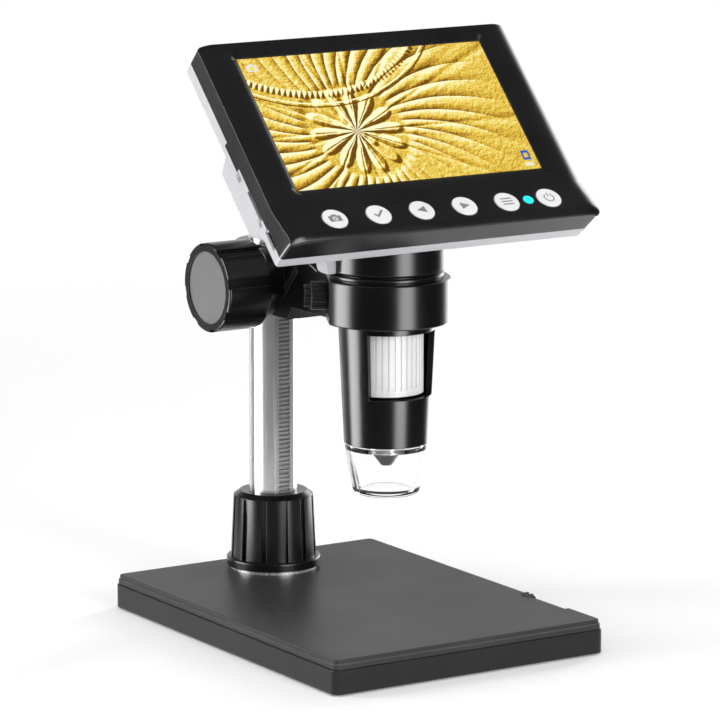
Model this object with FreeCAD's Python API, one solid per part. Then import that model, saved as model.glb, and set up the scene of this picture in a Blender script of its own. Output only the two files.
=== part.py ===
import FreeCAD, Part
import math
import os
from FreeCAD import Placement, Rotation, Vector

os.makedirs("parts", exist_ok=True)

# Frame: X to the user's right, -Y towards the user, Z up, origin on the desk under the base's centre
originPoint = Vector(0, 0, 0)
axisX = Vector(1, 0, 0)
axisY = Vector(0, 1, 0)
axisZ = Vector(0, 0, 1)
fullTurn = 360.0

# Clearances
runFit = 0.08
slideFit = 0.06
cutMargin = 1.0

# Base
baseWidth = 105.8
baseLength = 144.2
baseCorner = 2.8
innerCorner = 0.6
footDrop = 0.6
trayTop = 8.75
baseTop = 11.9
plateStep = 0.5
plateStepHeight = 1.5
baseWall = 2.4
plateThick = 2.4
coverFit = 0.1
ballastHeight = 4.4
footRadius = 6.0
footDepth = 1.2
footInset = 13.0
baseScrewRadius = 2.6
baseScrewShank = 1.3
screwHeadHeight = 1.4
screwSlotHalf = 0.35
screwSlotDepth = 0.5
postRadius = 4.0
postClearance = 0.4
trayEdge = 0.3
plateEdge = 0.35
spigotDepth = 1.2
pilotCover = 0.8
ballastMargin = 6.0
boltRadius = 3.0
boltHeadRadius = 5.2
boltHeadHeight = 2.4
boltGrip = 12.0
boltKeyRadius = 2.2
boltKeyDepth = 1.4

# Right edge lip of the base's top plate
lipDepth = 0.8
lipFront = -53.0
lipBack = -33.0
lipReach = 2.6
lipRibWidth = 1.1
lipRibPitch = 2.7
lipRibHeight = 0.5

# Column
columnY = 52.87
columnRadius = 8.3
columnTop = 170.0
rackWidth = 6.9
rackThick = 2.2
grooveWidth = 2.3
grooveDepth = 1.1
capHeight = 3.0
capSkirt = 6.0
capOverhang = 0.4
capRound = 1.2
columnBore = 4.4
boreFloor = 2.0

# Rack and pinion
toothPitch = 1.5
pinionTeeth = 25
toothDepth = 1.0
toothAddendum = 0.45
backlash = 0.16
toothSlot = 4.4
pinionFace = 4.0
rackBottom = 37.0
gearRoomGap = 0.5
pressureSlope = math.tan(math.radians(20.0))

# Column socket and nut
nutGap = 1.3
nutFlange = 16.35
nutFlangeHeight = 3.1
nutBottomRadius = 14.9
nutTopRadius = 13.85
nutTop = 39.4
nutChamfer = 1.6
nutGrooves = 12
nutGrooveWidth = 2.0
nutGrooveDepth = 0.7
socketRadius = 12.0
socketFlange = 15.0
socketTop = 36.5
socketFloor = 4.0
nutFlangeRound = 0.8
nutCrown = 2.2

# Carriage and arm
carriageBottom = 104.2
carriageTop = 127.4
carriageRadius = 13.0
carriageHalf = 10.0
carriageFront = 34.0
knobZ = 115.4
bossRadius = 11.5
bossReach = 16.8
shaftRadius = 3.0
armTop = 124.3
armBottom = 108.7
splitTopY = 20.6
splitTopZ = 122.6
splitBottomY = 36.0
splitBottomZ = 105.1
armSlopeFront = 8.0
armSlopeBack = 16.0
armHeelFront = 24.0
armHeelBack = 26.5
armEdge = 1.4
ringEdge = 0.6
carriageEdge = 1.0
bossEdge = 0.8
carriageLap = 8.0
armLap = 3.0
ridgeProud = 0.5
ridgeWidth = 0.7
ridgeOffset = 0.8
serrationPitch = 1.0
serrationGap = 0.4

# Knobs
knobRadius = 15.3
knobInner = 17.2
knobOuter = 34.0
knobLobes = 8
knobNotchWidth = 3.6
knobNotchDepth = 1.0
knobNotchTurn = 12.5
discRadius = 12.4
discRecess = 0.5
discThick = 1.5
knobEdge = 0.7
knobFloor = 5.0
knobHub = 5.0
shaftInset = 1.5

# Ring clamp and thumb screw
barrelY = -20.0
ringBottom = 110.1
ringTop = 125.0
ringRadius = 21.35
ringBore = 18.6
screwTurn = 27.0
screwZ = 118.9
facetDistance = 19.9
screwHeadRadius = 4.75
screwHeadStart = 20.0
screwHeadEnd = 25.4
screwTailRadius = 3.8
screwTailEnd = 27.5
screwShank = 1.5
knurlCount = 20
knurlDepth = 0.45
screwHeadEdge = 0.4

# Barrel
barrelTopRadius = 16.18
barrelTopZ = 110.0
barrelEndRadius = 14.26
barrelEndZ = 69.2
barrelWall = 2.0
barrelSleeve = 18.5
sleeveShelf = 108.6
sleeveWall = 2.0
beadBore = 16.5
beadSeat = 17.6
beadEdge = 0.4
neckEdge = 0.8
beadRadius = 19.0
beadBottom = 125.3
beadTop = 126.8
neckRadius = 19.85
neckBottom = 127.3
neckTop = 141.0
windowHalf = 55.5
windowBottom = 85.5
windowTop = 107.5
wheelRadius = 12.3
wheelBottom = 86.3
wheelTop = 108.0
wheelBore = 8.6
wheelRibs = 36
wheelBand = 2.2
ribDepth = 0.45
ribGroove = 0.55

# Optics
lensRim = 6.6
lensTip = 1.9
lensRimZ = 67.3
lensTipZ = 61.2
lensTube = 8.3
lensTopZ = 98.0
lensNeckRadius = 6.0
lensTubeBottom = 77.5
pupilRadius = 1.2
lightBoardZ = 73.5
lightBoardThick = 1.0
lampCount = 8
lampCircle = 10.2
lampSize = 2.0
sensorZ = 112.0
sensorRadius = 16.4
seatBottom = 79.0
seatTop = 84.0
seatHub = 10.0
lampLift = 0.8
lensGap = 0.6
sensorThick = 1.2
chipHalf = 4.0
holderRadius = 4.4
holderHeight = 5.0

# Nose cap
noseTopRadius = 14.2
noseEndRadius = 11.0
noseBottom = 51.7
noseWall = 1.3
noseFloor = 1.4
noseSpigot = 3.0
noseRound = 2.0
noseShoulder = 2.2
noseLedge = 0.8
noseTaper = 0.4

# Head, in its own frame: x to the right, y up the screen, z out of the screen, screen plane at 0
screenY = -22.12
screenZ = 179.29
screenTilt = 45.57
activeWidth = 95.04
activeHeight = 53.86
faceZ = 1.1
headHalf = 60.0
headTop = 32.9
chinBend = -33.6
chinEnd = -48.6
chinAngle = 13.0
headCorner = 1.2
rollHalf = 54.2
rollRadius = 10.57
lowRound = 2.2
splitZ = -7.4
sideTaper = 0.4
endTaper = 0.8
rimBack = -12.1
rimTaper = 0.4
rimRound = 0.5
rimInset = 3.6
cutReach = 40.0
rimLowInset = 3.0
shellWall = 1.8
blockTop = 6.0
chinReach = 30.0
rollEnd = 55.0
bezelWidth = 2.7
bezelCorner = 3.6
openingCorner = 0.6
panelThick = 3.2
panelMargin = 2.6
panelDrop = 0.1

# Rear box
boxHalf = 45.0
boxBack = -39.4
boxUpper = 9.5
boxTopShell = 21.8
boxBottomZ = 139.5
skirtRadius = 23.0
skirtBottom = 127.6
skirtTop = 152.0
skirtSpread = 27.0
boxRound = 2.4
cableRadius = 14.0
cableHeight = 16.0
rearScrewSpots = [(-52.8, 26.6), (52.8, 26.6), (-52.2, -41.6), (52.2, -41.6)]
rearScrewHead = 2.4
rearScrewShank = 1.2
rearScrewSink = 0.4
rearScrewThick = 1.0
rearScrewLength = 6.0
rearSlotHalf = 0.3

# Keys
keyCount = 6
keyPitch = 16.6
keyFirst = -40.8
keyRadius = 4.4
keyHole = 4.6
keyChinY = 7.6
keyRise = 0.35
keyTravel = 0.5
keyEarX = 5.4
keyEarY = 3.8
keyFlangeThick = 0.8
keyEdge = 0.3
keyBoardEnd = 5.0
keyBoardLow = 2.4
keyBoardHigh = 4.6
lightRise = 0.25
lightFlange = 0.6
cutAbove = 3.0
cutBelow = 6.0
openingGap = 0.25
lightX = 34.1
lightRadius = 1.9
frameWall = 2.0

# Sockets on the left side
usbY = -39.6
usbWidth = 7.4
usbHeight = 2.4
usbDepth = 5.6
usbShell = 0.35
cardY = -25.7
cardWidth = 11.6
cardHeight = 1.6
cardDepth = 14.0
tongueTop = -0.4
tongueBottom = -11.2
tongueDrop = 1.8
boardHalf = 53.5
boardLow = -39.0
boardHigh = 25.0
batteryHalf = 27.0
batteryLow = -16.0
batteryHigh = 5.0
batteryThick = 8.0
switchSize = 3.6
switchHeight = 1.3
boardTop = -8.9
boardThick = 1.4
usbZ = boardTop + usbHeight / 2
cardZ = boardTop + cardHeight / 2
socketInset = 0.5


def save(shape, name):
    shape.exportStep("parts/" + name + ".step")


def cylinder(radius, bottom, top, x=0.0, y=0.0):
    return Part.makeCylinder(radius, top - bottom, Vector(x, y, bottom))


def cone(bottomRadius, topRadius, bottom, top, x=0.0, y=0.0):
    return Part.makeCone(bottomRadius, topRadius, top - bottom, Vector(x, y, bottom))


def box(low, high):
    return Part.makeBox(high[0] - low[0], high[1] - low[1], high[2] - low[2], Vector(*low))


def polar(radius, degrees):
    angle = math.radians(degrees)
    return radius * math.cos(angle), radius * math.sin(angle)


def roundedFace(halfX, lowY, highY, radius, z):
    """A flat rectangle with round corners, centred on x = 0."""
    corners = (
        (halfX - radius, highY - radius, 0),
        (-halfX + radius, highY - radius, 90),
        (-halfX + radius, lowY + radius, 180),
        (halfX - radius, lowY + radius, 270),
    )
    arcs = []
    for centreX, centreY, start in corners:
        points = []
        for turn in (0, 45, 90):
            dx, dy = polar(radius, start + turn)
            points.append(Vector(centreX + dx, centreY + dy, z))
        arcs.append(points)
    edges = []
    for index, points in enumerate(arcs):
        following = arcs[(index + 1) % len(arcs)]
        edges.append(Part.Arc(*points).toShape())
        edges.append(Part.makeLine(points[2], following[0]))
    return Part.Wire(edges)


def roundedSlab(halfX, lowY, highY, radius, bottom, top):
    wire = roundedFace(halfX, lowY, highY, radius, bottom)
    return Part.Face(wire).extrude(Vector(0, 0, top - bottom))


def roundedLoft(lower, upper):
    """A tapered slab between two rounded rectangles, each (halfX, lowY, highY, radius, z)."""
    wires = [roundedFace(*lower), roundedFace(*upper)]
    return Part.makeLoft(wires, True, True)


def extrudeX(points, fromX, toX):
    """A prism along X from a list of (y, z) corners."""
    corners = [Vector(fromX, y, z) for y, z in points]
    corners.append(corners[0])
    face = Part.Face(Part.makePolygon(corners))
    return face.extrude(Vector(toX - fromX, 0, 0))


def revolve(points, x=0.0, y=0.0):
    """A solid of revolution about a vertical axis from (radius, z) corners."""
    corners = [Vector(x + radius, y, z) for radius, z in points]
    corners.append(corners[0])
    face = Part.Face(Part.makePolygon(corners))
    return face.revolve(Vector(x, y, 0), axisZ, fullTurn)


def group(shapes):
    return Part.makeCompound(shapes)


def fuse(shapes):
    result = shapes[0]
    for shape in shapes[1:]:
        result = result.fuse(shape)
    return result.removeSplitter()


headPlace = Placement(Vector(0, screenY, screenZ), Rotation(axisX, screenTilt))


def placed(shape):
    """Carry a shape from the head's frame to the part's frame."""
    moved = shape.copy()
    moved.Placement = headPlace.multiply(moved.Placement)
    return moved


def toHead(shape):
    moved = shape.copy()
    moved.Placement = headPlace.inverse().multiply(moved.Placement)
    return moved


chinPlace = Placement(Vector(0, chinBend, faceZ), Rotation(axisX, -chinAngle))


def chinPoint(down):
    """Point on the chin's face that far below the bend, in the head's frame."""
    return chinPlace.multVec(Vector(0, -down, 0))


# Base

halfWidth = baseWidth / 2
halfLength = baseLength / 2


def baseSlab(inset, bottom, top):
    corner = max(baseCorner - inset, innerCorner)
    return roundedSlab(halfWidth - inset, -halfLength + inset, halfLength - inset, corner, bottom, top)


screwSpots = [
    (sx * (halfWidth - footInset * 2), sy * (halfLength - footInset))
    for sx in (-1, 1)
    for sy in (-1, 1)
]
footSpots = [
    (sx * (halfWidth - footInset), sy * (halfLength - footInset))
    for sx in (-1, 1)
    for sy in (-1, 1)
]
plateBottom = baseTop - plateThick


def makeBaseTray():
    tray = baseSlab(0, footDrop, trayTop)
    edges = [edge for edge in tray.Edges if edge.BoundBox.ZMin > trayTop - cutMargin]
    tray = tray.makeChamfer(trayEdge, edges)
    tray = tray.cut(baseSlab(baseWall, footDrop + baseWall, trayTop + cutMargin))
    posts = [cylinder(postRadius, footDrop + baseWall, plateBottom, x, y) for x, y in screwSpots]
    tray = tray.fuse(posts)
    holes = []
    for x, y in screwSpots:
        holes.append(cylinder(baseScrewShank + runFit, 0, baseTop, x, y))
        holes.append(cylinder(baseScrewRadius + runFit, 0, footDrop + screwHeadHeight, x, y))
    for x, y in footSpots:
        holes.append(cylinder(footRadius, footDrop - cutMargin, footDrop + footDepth, x, y))
    holes.append(cylinder(boltHeadRadius + runFit, 0, footDrop + boltHeadHeight, 0, columnY))
    holes.append(cylinder(boltRadius + runFit, 0, baseTop, 0, columnY))
    return tray.cut(holes)


def makeBasePlate():
    lower = baseSlab(plateStep, trayTop, baseTop - plateStepHeight)
    upper = baseSlab(2 * plateStep, baseTop - plateStepHeight, baseTop)
    edges = [edge for edge in upper.Edges if edge.BoundBox.ZMin > baseTop - 0.1]
    upper = upper.makeFillet(plateEdge, edges)
    plate = lower.fuse(upper)
    inner = baseSlab(baseWall + plateStep, trayTop - cutMargin, plateBottom)
    plate = plate.cut(inner)
    spigot = baseSlab(baseWall + coverFit, trayTop - spigotDepth, plateBottom)
    spigot = spigot.cut(baseSlab(2 * baseWall, trayTop - spigotDepth - cutMargin, plateBottom))
    plate = plate.fuse(spigot)
    lipX = halfWidth - 2 * plateStep - lipReach
    lip = box((lipX, lipFront, baseTop - lipDepth), (halfWidth + cutMargin, lipBack, baseTop + cutMargin))
    plate = plate.cut(lip)
    ribs = []
    for index in range(2):
        y = lipBack + lipRibPitch * index + lipRibWidth
        high = (lipX + lipReach, y + lipRibWidth, baseTop + lipRibHeight)
        ribs.append(box((lipX, y, baseTop - lipDepth), high))
    plate = plate.fuse(ribs)
    pilotTop = baseTop - pilotCover
    pilots = [cylinder(baseScrewShank, plateBottom - cutMargin, pilotTop, x, y) for x, y in screwSpots]
    pilots.append(cylinder(boltRadius + runFit, 0, baseTop + cutMargin, 0, columnY))
    return plate.cut(pilots).removeSplitter()


def makeBallast():
    ballast = baseSlab(baseWall + ballastMargin, footDrop + baseWall, footDrop + baseWall + ballastHeight)
    holes = [cylinder(postRadius + postClearance, 0, baseTop, x, y) for x, y in screwSpots]
    holes.append(cylinder(boltRadius + cutMargin, 0, baseTop, 0, columnY))
    return ballast.cut(holes)


def makeFeet():
    return group([cylinder(footRadius, 0, footDrop + footDepth, x, y) for x, y in footSpots])


def makeBaseScrews():
    screws = []
    for x, y in screwSpots:
        head = cylinder(baseScrewRadius, footDrop, footDrop + screwHeadHeight, x, y)
        shank = cylinder(baseScrewShank, footDrop, baseTop - pilotCover, x, y)
        slot = box(
            (x - baseScrewRadius, y - screwSlotHalf, 0),
            (x + baseScrewRadius, y + screwSlotHalf, footDrop + screwSlotDepth),
        )
        screws.append(head.fuse(shank).cut(slot))
    return group(screws)


def makeColumnSocket():
    flange = cylinder(socketFlange, baseTop, baseTop + nutGap, 0, columnY)
    post = cylinder(socketRadius, baseTop, socketTop, 0, columnY)
    bore = cylinder(columnRadius, baseTop + socketFloor, socketTop + cutMargin, 0, columnY)
    bolt = cylinder(boltRadius + runFit, baseTop - cutMargin, socketTop, 0, columnY)
    return flange.fuse(post).cut(bore).cut(bolt)


def makeColumnBolt():
    head = cylinder(boltHeadRadius, footDrop, footDrop + boltHeadHeight, 0, columnY)
    shank = cylinder(boltRadius, footDrop, baseTop + socketFloor + boltGrip, 0, columnY)
    bolt = head.fuse(shank)
    socket = cylinder(boltKeyRadius, 0, footDrop + boltKeyDepth, 0, columnY)
    return bolt.cut(socket)


# Column

columnBottom = baseTop + socketFloor
flatOffset = math.sqrt(columnRadius ** 2 - (rackWidth / 2) ** 2)
rackFaceY = columnY - flatOffset
pitchRadius = toothPitch * pinionTeeth / (2 * math.pi)
pitchLineY = rackFaceY + toothAddendum
pinionY = pitchLineY - pitchRadius


def rackChannel(width, thick, bottom, top):
    return box((-width / 2, columnY - columnRadius - cutMargin, bottom), (width / 2, rackFaceY + thick, top))


def sideGrooves(width, depth, bottom, top):
    cuts = []
    for side in (-1, 1):
        near = side * (columnRadius - depth)
        far = side * (columnRadius + cutMargin)
        cuts.append(
            box((min(near, far), columnY - width / 2, bottom), (max(near, far), columnY + width / 2, top))
        )
    return cuts


def makeColumn():
    column = cylinder(columnRadius, columnBottom, columnTop, 0, columnY)
    cuts = sideGrooves(grooveWidth, grooveDepth, columnBottom, columnTop + cutMargin)
    cuts.append(rackChannel(rackWidth, rackThick, rackBottom, columnTop + cutMargin))
    cuts.append(cylinder(boltRadius, columnBottom - cutMargin, columnBottom + boltGrip, 0, columnY))
    cuts.append(cylinder(columnBore, columnBottom + boltGrip + boreFloor, columnTop + cutMargin, 0, columnY))
    return column.cut(cuts)


def rackSlot(z):
    """One tooth gap of the rack, wider at its mouth."""
    halfMouth = toothPitch / 4 + toothAddendum * pressureSlope
    halfFloor = halfMouth - toothDepth * pressureSlope
    mouthY = rackFaceY - cutMargin
    halfOuter = halfMouth + cutMargin * pressureSlope
    floorY = rackFaceY + toothDepth
    points = [
        (mouthY, z - halfOuter),
        (mouthY, z + halfOuter),
        (floorY, z + halfFloor),
        (floorY, z - halfFloor),
    ]
    return extrudeX(points, -toothSlot / 2, toothSlot / 2)


def makeRack():
    rack = box(
        (-rackWidth / 2, rackFaceY, rackBottom),
        (rackWidth / 2, rackFaceY + rackThick, columnTop),
    )
    span = rackBottom + toothPitch
    slots = []
    below = int((knobZ - span) / toothPitch)
    above = int((columnTop - toothPitch - knobZ) / toothPitch)
    for step in range(-below, above + 1):
        slots.append(rackSlot(knobZ + step * toothPitch))
    return rack.cut(slots)


def makeColumnCap():
    top = cylinder(columnRadius + capOverhang, columnTop, columnTop + capHeight, 0, columnY)
    edges = [edge for edge in top.Edges if edge.BoundBox.ZMin > columnTop + capHeight - 0.1]
    top = top.makeFillet(capRound, edges)
    plug = cylinder(columnBore, columnTop - capSkirt, columnTop, 0, columnY)
    return top.fuse(plug)


# Column nut


def makeColumnNut():
    bottom = baseTop + nutGap
    flangeTop = bottom + nutFlangeHeight
    flange = cylinder(nutFlange, bottom, flangeTop, 0, columnY)
    edges = [edge for edge in flange.Edges if edge.BoundBox.ZMin > flangeTop - 0.1]
    flange = flange.makeFillet(nutFlangeRound, edges)
    body = cone(nutBottomRadius, nutTopRadius, flangeTop, nutTop - nutChamfer, 0, columnY)
    crown = cone(nutTopRadius, nutTopRadius - nutCrown, nutTop - nutChamfer, nutTop, 0, columnY)
    nut = fuse([flange, body, crown])
    grooves = []
    for index in range(nutGrooves):
        groove = box(
            (-nutGrooveWidth / 2, -nutBottomRadius - cutMargin, flangeTop),
            (nutGrooveWidth / 2, -nutTopRadius + nutGrooveDepth, nutTop - nutChamfer),
        )
        groove.rotate(originPoint, axisZ, fullTurn / nutGrooves * (index + 0.5))
        groove.translate(Vector(0, columnY, 0))
        grooves.append(groove)
    nut = nut.cut(grooves)
    hollow = cylinder(socketRadius + runFit, bottom - cutMargin, socketTop + runFit, 0, columnY)
    hole = cylinder(columnRadius + runFit, bottom, nutTop + cutMargin, 0, columnY)
    return nut.cut(hollow).cut(hole)


# Carriage and arm

splitDirection = Vector(0, splitBottomY - splitTopY, splitBottomZ - splitTopZ)
splitDirection.normalize()
splitNormal = Vector(0, -splitDirection.z, splitDirection.y)


def splitPrism(offset, sign, halfX):
    """Half space in front of (sign 1) or behind (sign -1) the slanted joint, cut to a wide prism."""
    reach = 90.0
    middle = Vector(0, splitTopY, splitTopZ) - splitNormal * offset
    a = middle - splitDirection * reach
    b = middle + splitDirection * reach
    out = -splitNormal * (sign * reach)
    points = [(p.y, p.z) for p in (a, b, b + out, a + out)]
    return extrudeX(points, -halfX, halfX)


boreRadius = columnRadius + runFit


def columnSpace(bottom, top):
    """The column's room inside the carriage, with guide keys left in the side grooves."""
    space = cylinder(boreRadius, bottom, top, 0, columnY)
    keys = sideGrooves(grooveWidth - 2 * slideFit, grooveDepth - runFit, bottom, top)
    return space.cut(keys)


def ridge(side, offset):
    """A finely notched ridge beside the slanted joint, on one side of the arm or carriage."""
    top = Vector(0, splitTopY, splitTopZ) - splitNormal * offset
    bottom = Vector(0, splitBottomY, splitBottomZ) - splitNormal * offset
    length = (bottom - top).Length
    bar = Part.makeBox(2 * ridgeProud, length, ridgeWidth, Vector(-ridgeProud, 0, -ridgeWidth / 2))
    notches = []
    for index in range(int(length / serrationPitch)):
        along = serrationPitch * (index + 0.5)
        notches.append(
            box(
                (-2 * ridgeProud, along - serrationGap / 2, -ridgeWidth),
                (2 * ridgeProud, along + serrationGap / 2, ridgeWidth),
            ).cut(box((-ridgeProud / 4, 0, -ridgeWidth), (ridgeProud / 4, length, ridgeWidth)))
        )
    bar = bar.cut(notches)
    slope = math.degrees(math.atan2(splitDirection.z, splitDirection.y))
    bar.Placement = Placement(Vector(side * carriageHalf, top.y, top.z), Rotation(axisX, slope))
    return bar


def makeCarriage():
    outer = cylinder(carriageRadius, carriageBottom, carriageTop, 0, columnY)
    low = (-carriageHalf, splitTopY - carriageLap, carriageBottom)
    block = box(low, (carriageHalf, columnY, carriageTop))
    body = block.fuse(outer).removeSplitter()
    top = [edge for edge in body.Edges if edge.BoundBox.ZMin > carriageTop - 0.1]
    body = body.makeFillet(carriageEdge, top)
    body = body.cut(splitPrism(0.0, 1, carriageHalf + cutMargin))
    boss = Part.makeCylinder(bossRadius, 2 * bossReach, Vector(-bossReach, pinionY, knobZ), axisX)
    rims = [edge for edge in boss.Edges if edge.BoundBox.XLength < 0.1]
    boss = boss.makeFillet(bossEdge, rims)
    body = body.fuse([boss] + [ridge(side, -ridgeOffset) for side in (-1, 1)])
    body = body.cut(columnSpace(carriageBottom - cutMargin, carriageTop + cutMargin))
    shaftLength = 2 * bossReach + 2 * cutMargin
    shaftStart = Vector(-shaftLength / 2, pinionY, knobZ)
    shaft = Part.makeCylinder(shaftRadius + runFit, shaftLength, shaftStart, axisX)
    roomHalf = pinionFace / 2 + gearRoomGap
    roomRadius = pitchRadius + 2 * gearRoomGap
    gearRoom = Part.makeCylinder(roomRadius, 2 * roomHalf, Vector(-roomHalf, pinionY, knobZ), axisX)
    mouth = box((-roomHalf, pinionY, knobZ - roomRadius), (roomHalf, columnY, knobZ + roomRadius))
    return body.cut([shaft, gearRoom, mouth])


screwDirection = Vector(-math.cos(math.radians(screwTurn)), math.sin(math.radians(screwTurn)), 0)


def screwAxisCylinder(radius, start, end):
    base = Vector(0, barrelY, screwZ) + screwDirection * start
    return Part.makeCylinder(radius, end - start, base, screwDirection)


def facetCut(distance):
    depth = 10.0
    cut = Part.makeBox(depth, 40.0, 60.0, Vector(0, -20.0, -30.0))
    cut.Placement = Placement(
        Vector(0, barrelY, screwZ) + screwDirection * distance, Rotation(axisZ, 180.0 - screwTurn)
    )
    return cut


def makeArm():
    web = extrudeX(
        [
            (barrelY, armBottom),
            (armHeelFront, armBottom),
            (armHeelBack, carriageBottom),
            (carriageFront + armLap, carriageBottom),
            (carriageFront + armLap, carriageTop),
            (armSlopeBack, carriageTop),
            (armSlopeFront, armTop),
            (barrelY, armTop),
        ],
        -carriageHalf,
        carriageHalf,
    )
    web = web.cut(splitPrism(0.0, -1, carriageHalf + cutMargin))
    longEdges = []
    for edge in web.Edges:
        bounds = edge.BoundBox
        if bounds.XLength < 0.1 and bounds.ZMin > armTop - 0.1:
            longEdges.append(edge)
    web = web.makeFillet(armEdge, longEdges)
    ring = cylinder(ringRadius, ringBottom, ringTop, 0, barrelY)
    ring = ring.cut(facetCut(facetDistance))
    rims = [edge for edge in ring.Edges if edge.BoundBox.ZLength < 0.01]
    ring = ring.makeFillet(ringEdge, rims)
    arm = web.fuse([ring] + [ridge(side, ridgeOffset) for side in (-1, 1)])
    arm = arm.cut(cylinder(ringBore, ringBottom - 10, ringTop + 10, 0, barrelY))
    bossStart = Vector(-bossReach, pinionY, knobZ)
    arm = arm.cut(Part.makeCylinder(bossRadius, 2 * bossReach, bossStart, axisX))
    arm = arm.cut(screwAxisCylinder(screwShank + runFit, ringBore - 2, ringRadius + 2))
    return arm.removeSplitter()


def makeThumbScrew():
    head = screwAxisCylinder(screwHeadRadius, screwHeadStart, screwHeadEnd)
    rims = [edge for edge in head.Edges if edge.Closed]
    head = head.makeFillet(screwHeadEdge, rims)
    tail = screwAxisCylinder(screwTailRadius, screwHeadEnd, screwTailEnd)
    shank = screwAxisCylinder(screwShank, ringBore, screwHeadStart)
    cuts = []
    for index in range(knurlCount):
        for radius, start, end in (
            (screwHeadRadius, screwHeadStart, screwHeadEnd),
            (screwTailRadius, screwHeadEnd, screwTailEnd),
        ):
            groove = Part.makeCylinder(knurlDepth, end - start, Vector(radius, 0, start))
            groove.rotate(originPoint, axisZ, fullTurn / knurlCount * index)
            cuts.append(groove)
    tool = group(cuts)
    tool.Placement = Placement(Vector(0, barrelY, screwZ), Rotation(axisZ, screwDirection))
    screw = fuse([head, tail, shank])
    return screw.cut(tool.Solids)


# Pinion and knobs


def makePinion():
    """Gear and through shaft; a tooth points at the rack."""
    root = pitchRadius - (toothDepth - toothAddendum)
    tip = pitchRadius + toothAddendum - 0.1
    halfPitch = toothPitch / 4 - backlash / 2
    points = []
    for index in range(pinionTeeth):
        centre = fullTurn / pinionTeeth * index
        for radius, half in (
            (root, halfPitch + (pitchRadius - root) * pressureSlope),
            (tip, halfPitch - (tip - pitchRadius) * pressureSlope),
        ):
            points.append((radius, centre, -half))
        for radius, half in (
            (tip, halfPitch - (tip - pitchRadius) * pressureSlope),
            (root, halfPitch + (pitchRadius - root) * pressureSlope),
        ):
            points.append((radius, centre, half))
    corners = []
    for radius, centre, half in points:
        angle = math.radians(centre) + half / radius
        corners.append(Vector(-pinionFace / 2, radius * math.cos(angle), radius * math.sin(angle)))
    corners.append(corners[0])
    gear = Part.Face(Part.makePolygon(corners)).extrude(Vector(pinionFace, 0, 0))
    reach = knobOuter - discThick - shaftInset
    shaft = Part.makeCylinder(shaftRadius, 2 * reach, Vector(-reach, 0, 0), axisX)
    pinion = gear.fuse(shaft)
    pinion.translate(Vector(0, pinionY, knobZ))
    return pinion.removeSplitter()


def makeKnob(side):
    """Knob with eight lobes, built along +X and turned to its side."""
    length = knobOuter - knobInner
    body = Part.makeCylinder(knobRadius, length, Vector(knobInner, 0, 0), axisX)
    rims = [edge for edge in body.Edges if edge.Closed]
    body = body.makeFillet(knobEdge, rims)
    cuts = []
    for index in range(knobLobes):
        notch = box(
            (knobInner - cutMargin, -knobNotchWidth / 2, knobRadius - knobNotchDepth),
            (knobOuter + cutMargin, knobNotchWidth / 2, knobRadius + cutMargin),
        )
        notch.rotate(originPoint, axisX, fullTurn / knobLobes * index + knobNotchTurn)
        cuts.append(notch)
    seatStart = knobOuter - discThick - discRecess
    seat = Part.makeCylinder(discRadius, discThick + discRecess, Vector(seatStart, 0, 0), axisX)
    shaftEnd = knobOuter - discThick - shaftInset
    hole = Part.makeCylinder(shaftRadius, shaftEnd, originPoint, axisX)
    hollowStart = knobInner + knobFloor
    hollow = Part.makeCylinder(
        discRadius - cutMargin, seatStart - hollowStart, Vector(hollowStart, 0, 0), axisX
    )
    hub = Part.makeCylinder(knobHub, shaftEnd - hollowStart, Vector(hollowStart, 0, 0), axisX)
    knob = body.cut(cuts + [seat])
    knob = knob.cut(hollow.cut(hub))
    knob = knob.cut(hole)
    if side < 0:
        knob.rotate(originPoint, axisZ, 180.0)
    knob.translate(Vector(0, pinionY, knobZ))
    return knob


def makeKnobDiscs():
    discs = []
    for side in (-1, 1):
        start = side * (knobOuter - discRecess)
        discs.append(Part.makeCylinder(discRadius, discThick, Vector(start, pinionY, knobZ), axisX * -side))
    return group(discs)


# Barrel and what is inside it


def barrelRadiusAt(z):
    share = (z - barrelEndZ) / (barrelTopZ - barrelEndZ)
    return barrelEndRadius + (barrelTopRadius - barrelEndRadius) * share


def makeBarrel():
    profile = [
        (barrelRadiusAt(barrelEndZ), barrelEndZ),
        (barrelRadiusAt(sleeveShelf), sleeveShelf),
        (barrelRadiusAt(barrelTopZ), barrelTopZ),
        (barrelSleeve, barrelTopZ),
        (barrelSleeve, beadBottom),
        (barrelSleeve - sleeveWall, beadBottom),
        (barrelSleeve - sleeveWall, barrelTopZ + barrelWall),
        (barrelRadiusAt(barrelTopZ) - barrelWall, sleeveShelf),
        (barrelRadiusAt(barrelEndZ) - barrelWall, barrelEndZ),
    ]
    shell = revolve(profile, 0, barrelY)
    sector = Part.makeCylinder(
        2 * ringRadius, windowTop - windowBottom, Vector(0, 0, windowBottom), axisZ, 2 * windowHalf
    )
    sector.rotate(originPoint, axisZ, -90.0 - windowHalf)
    sector.translate(Vector(0, barrelY, 0))
    return shell.cut(sector)


def makeBead():
    profile = [
        (beadBore, beadBottom),
        (beadRadius - beadEdge, beadBottom),
        (beadRadius, beadBottom + beadEdge),
        (beadRadius, beadTop - beadEdge),
        (beadRadius - beadEdge, beadTop),
        (beadSeat, beadTop),
        (beadSeat, neckBottom),
        (beadBore, neckBottom),
    ]
    return revolve(profile, 0, barrelY)


def makeNeck():
    profile = [
        (beadBore, neckBottom),
        (neckRadius - neckEdge, neckBottom),
        (neckRadius, neckBottom + neckEdge),
        (neckRadius, neckTop),
        (beadBore, neckTop),
    ]
    return revolve(profile, 0, barrelY)


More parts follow.
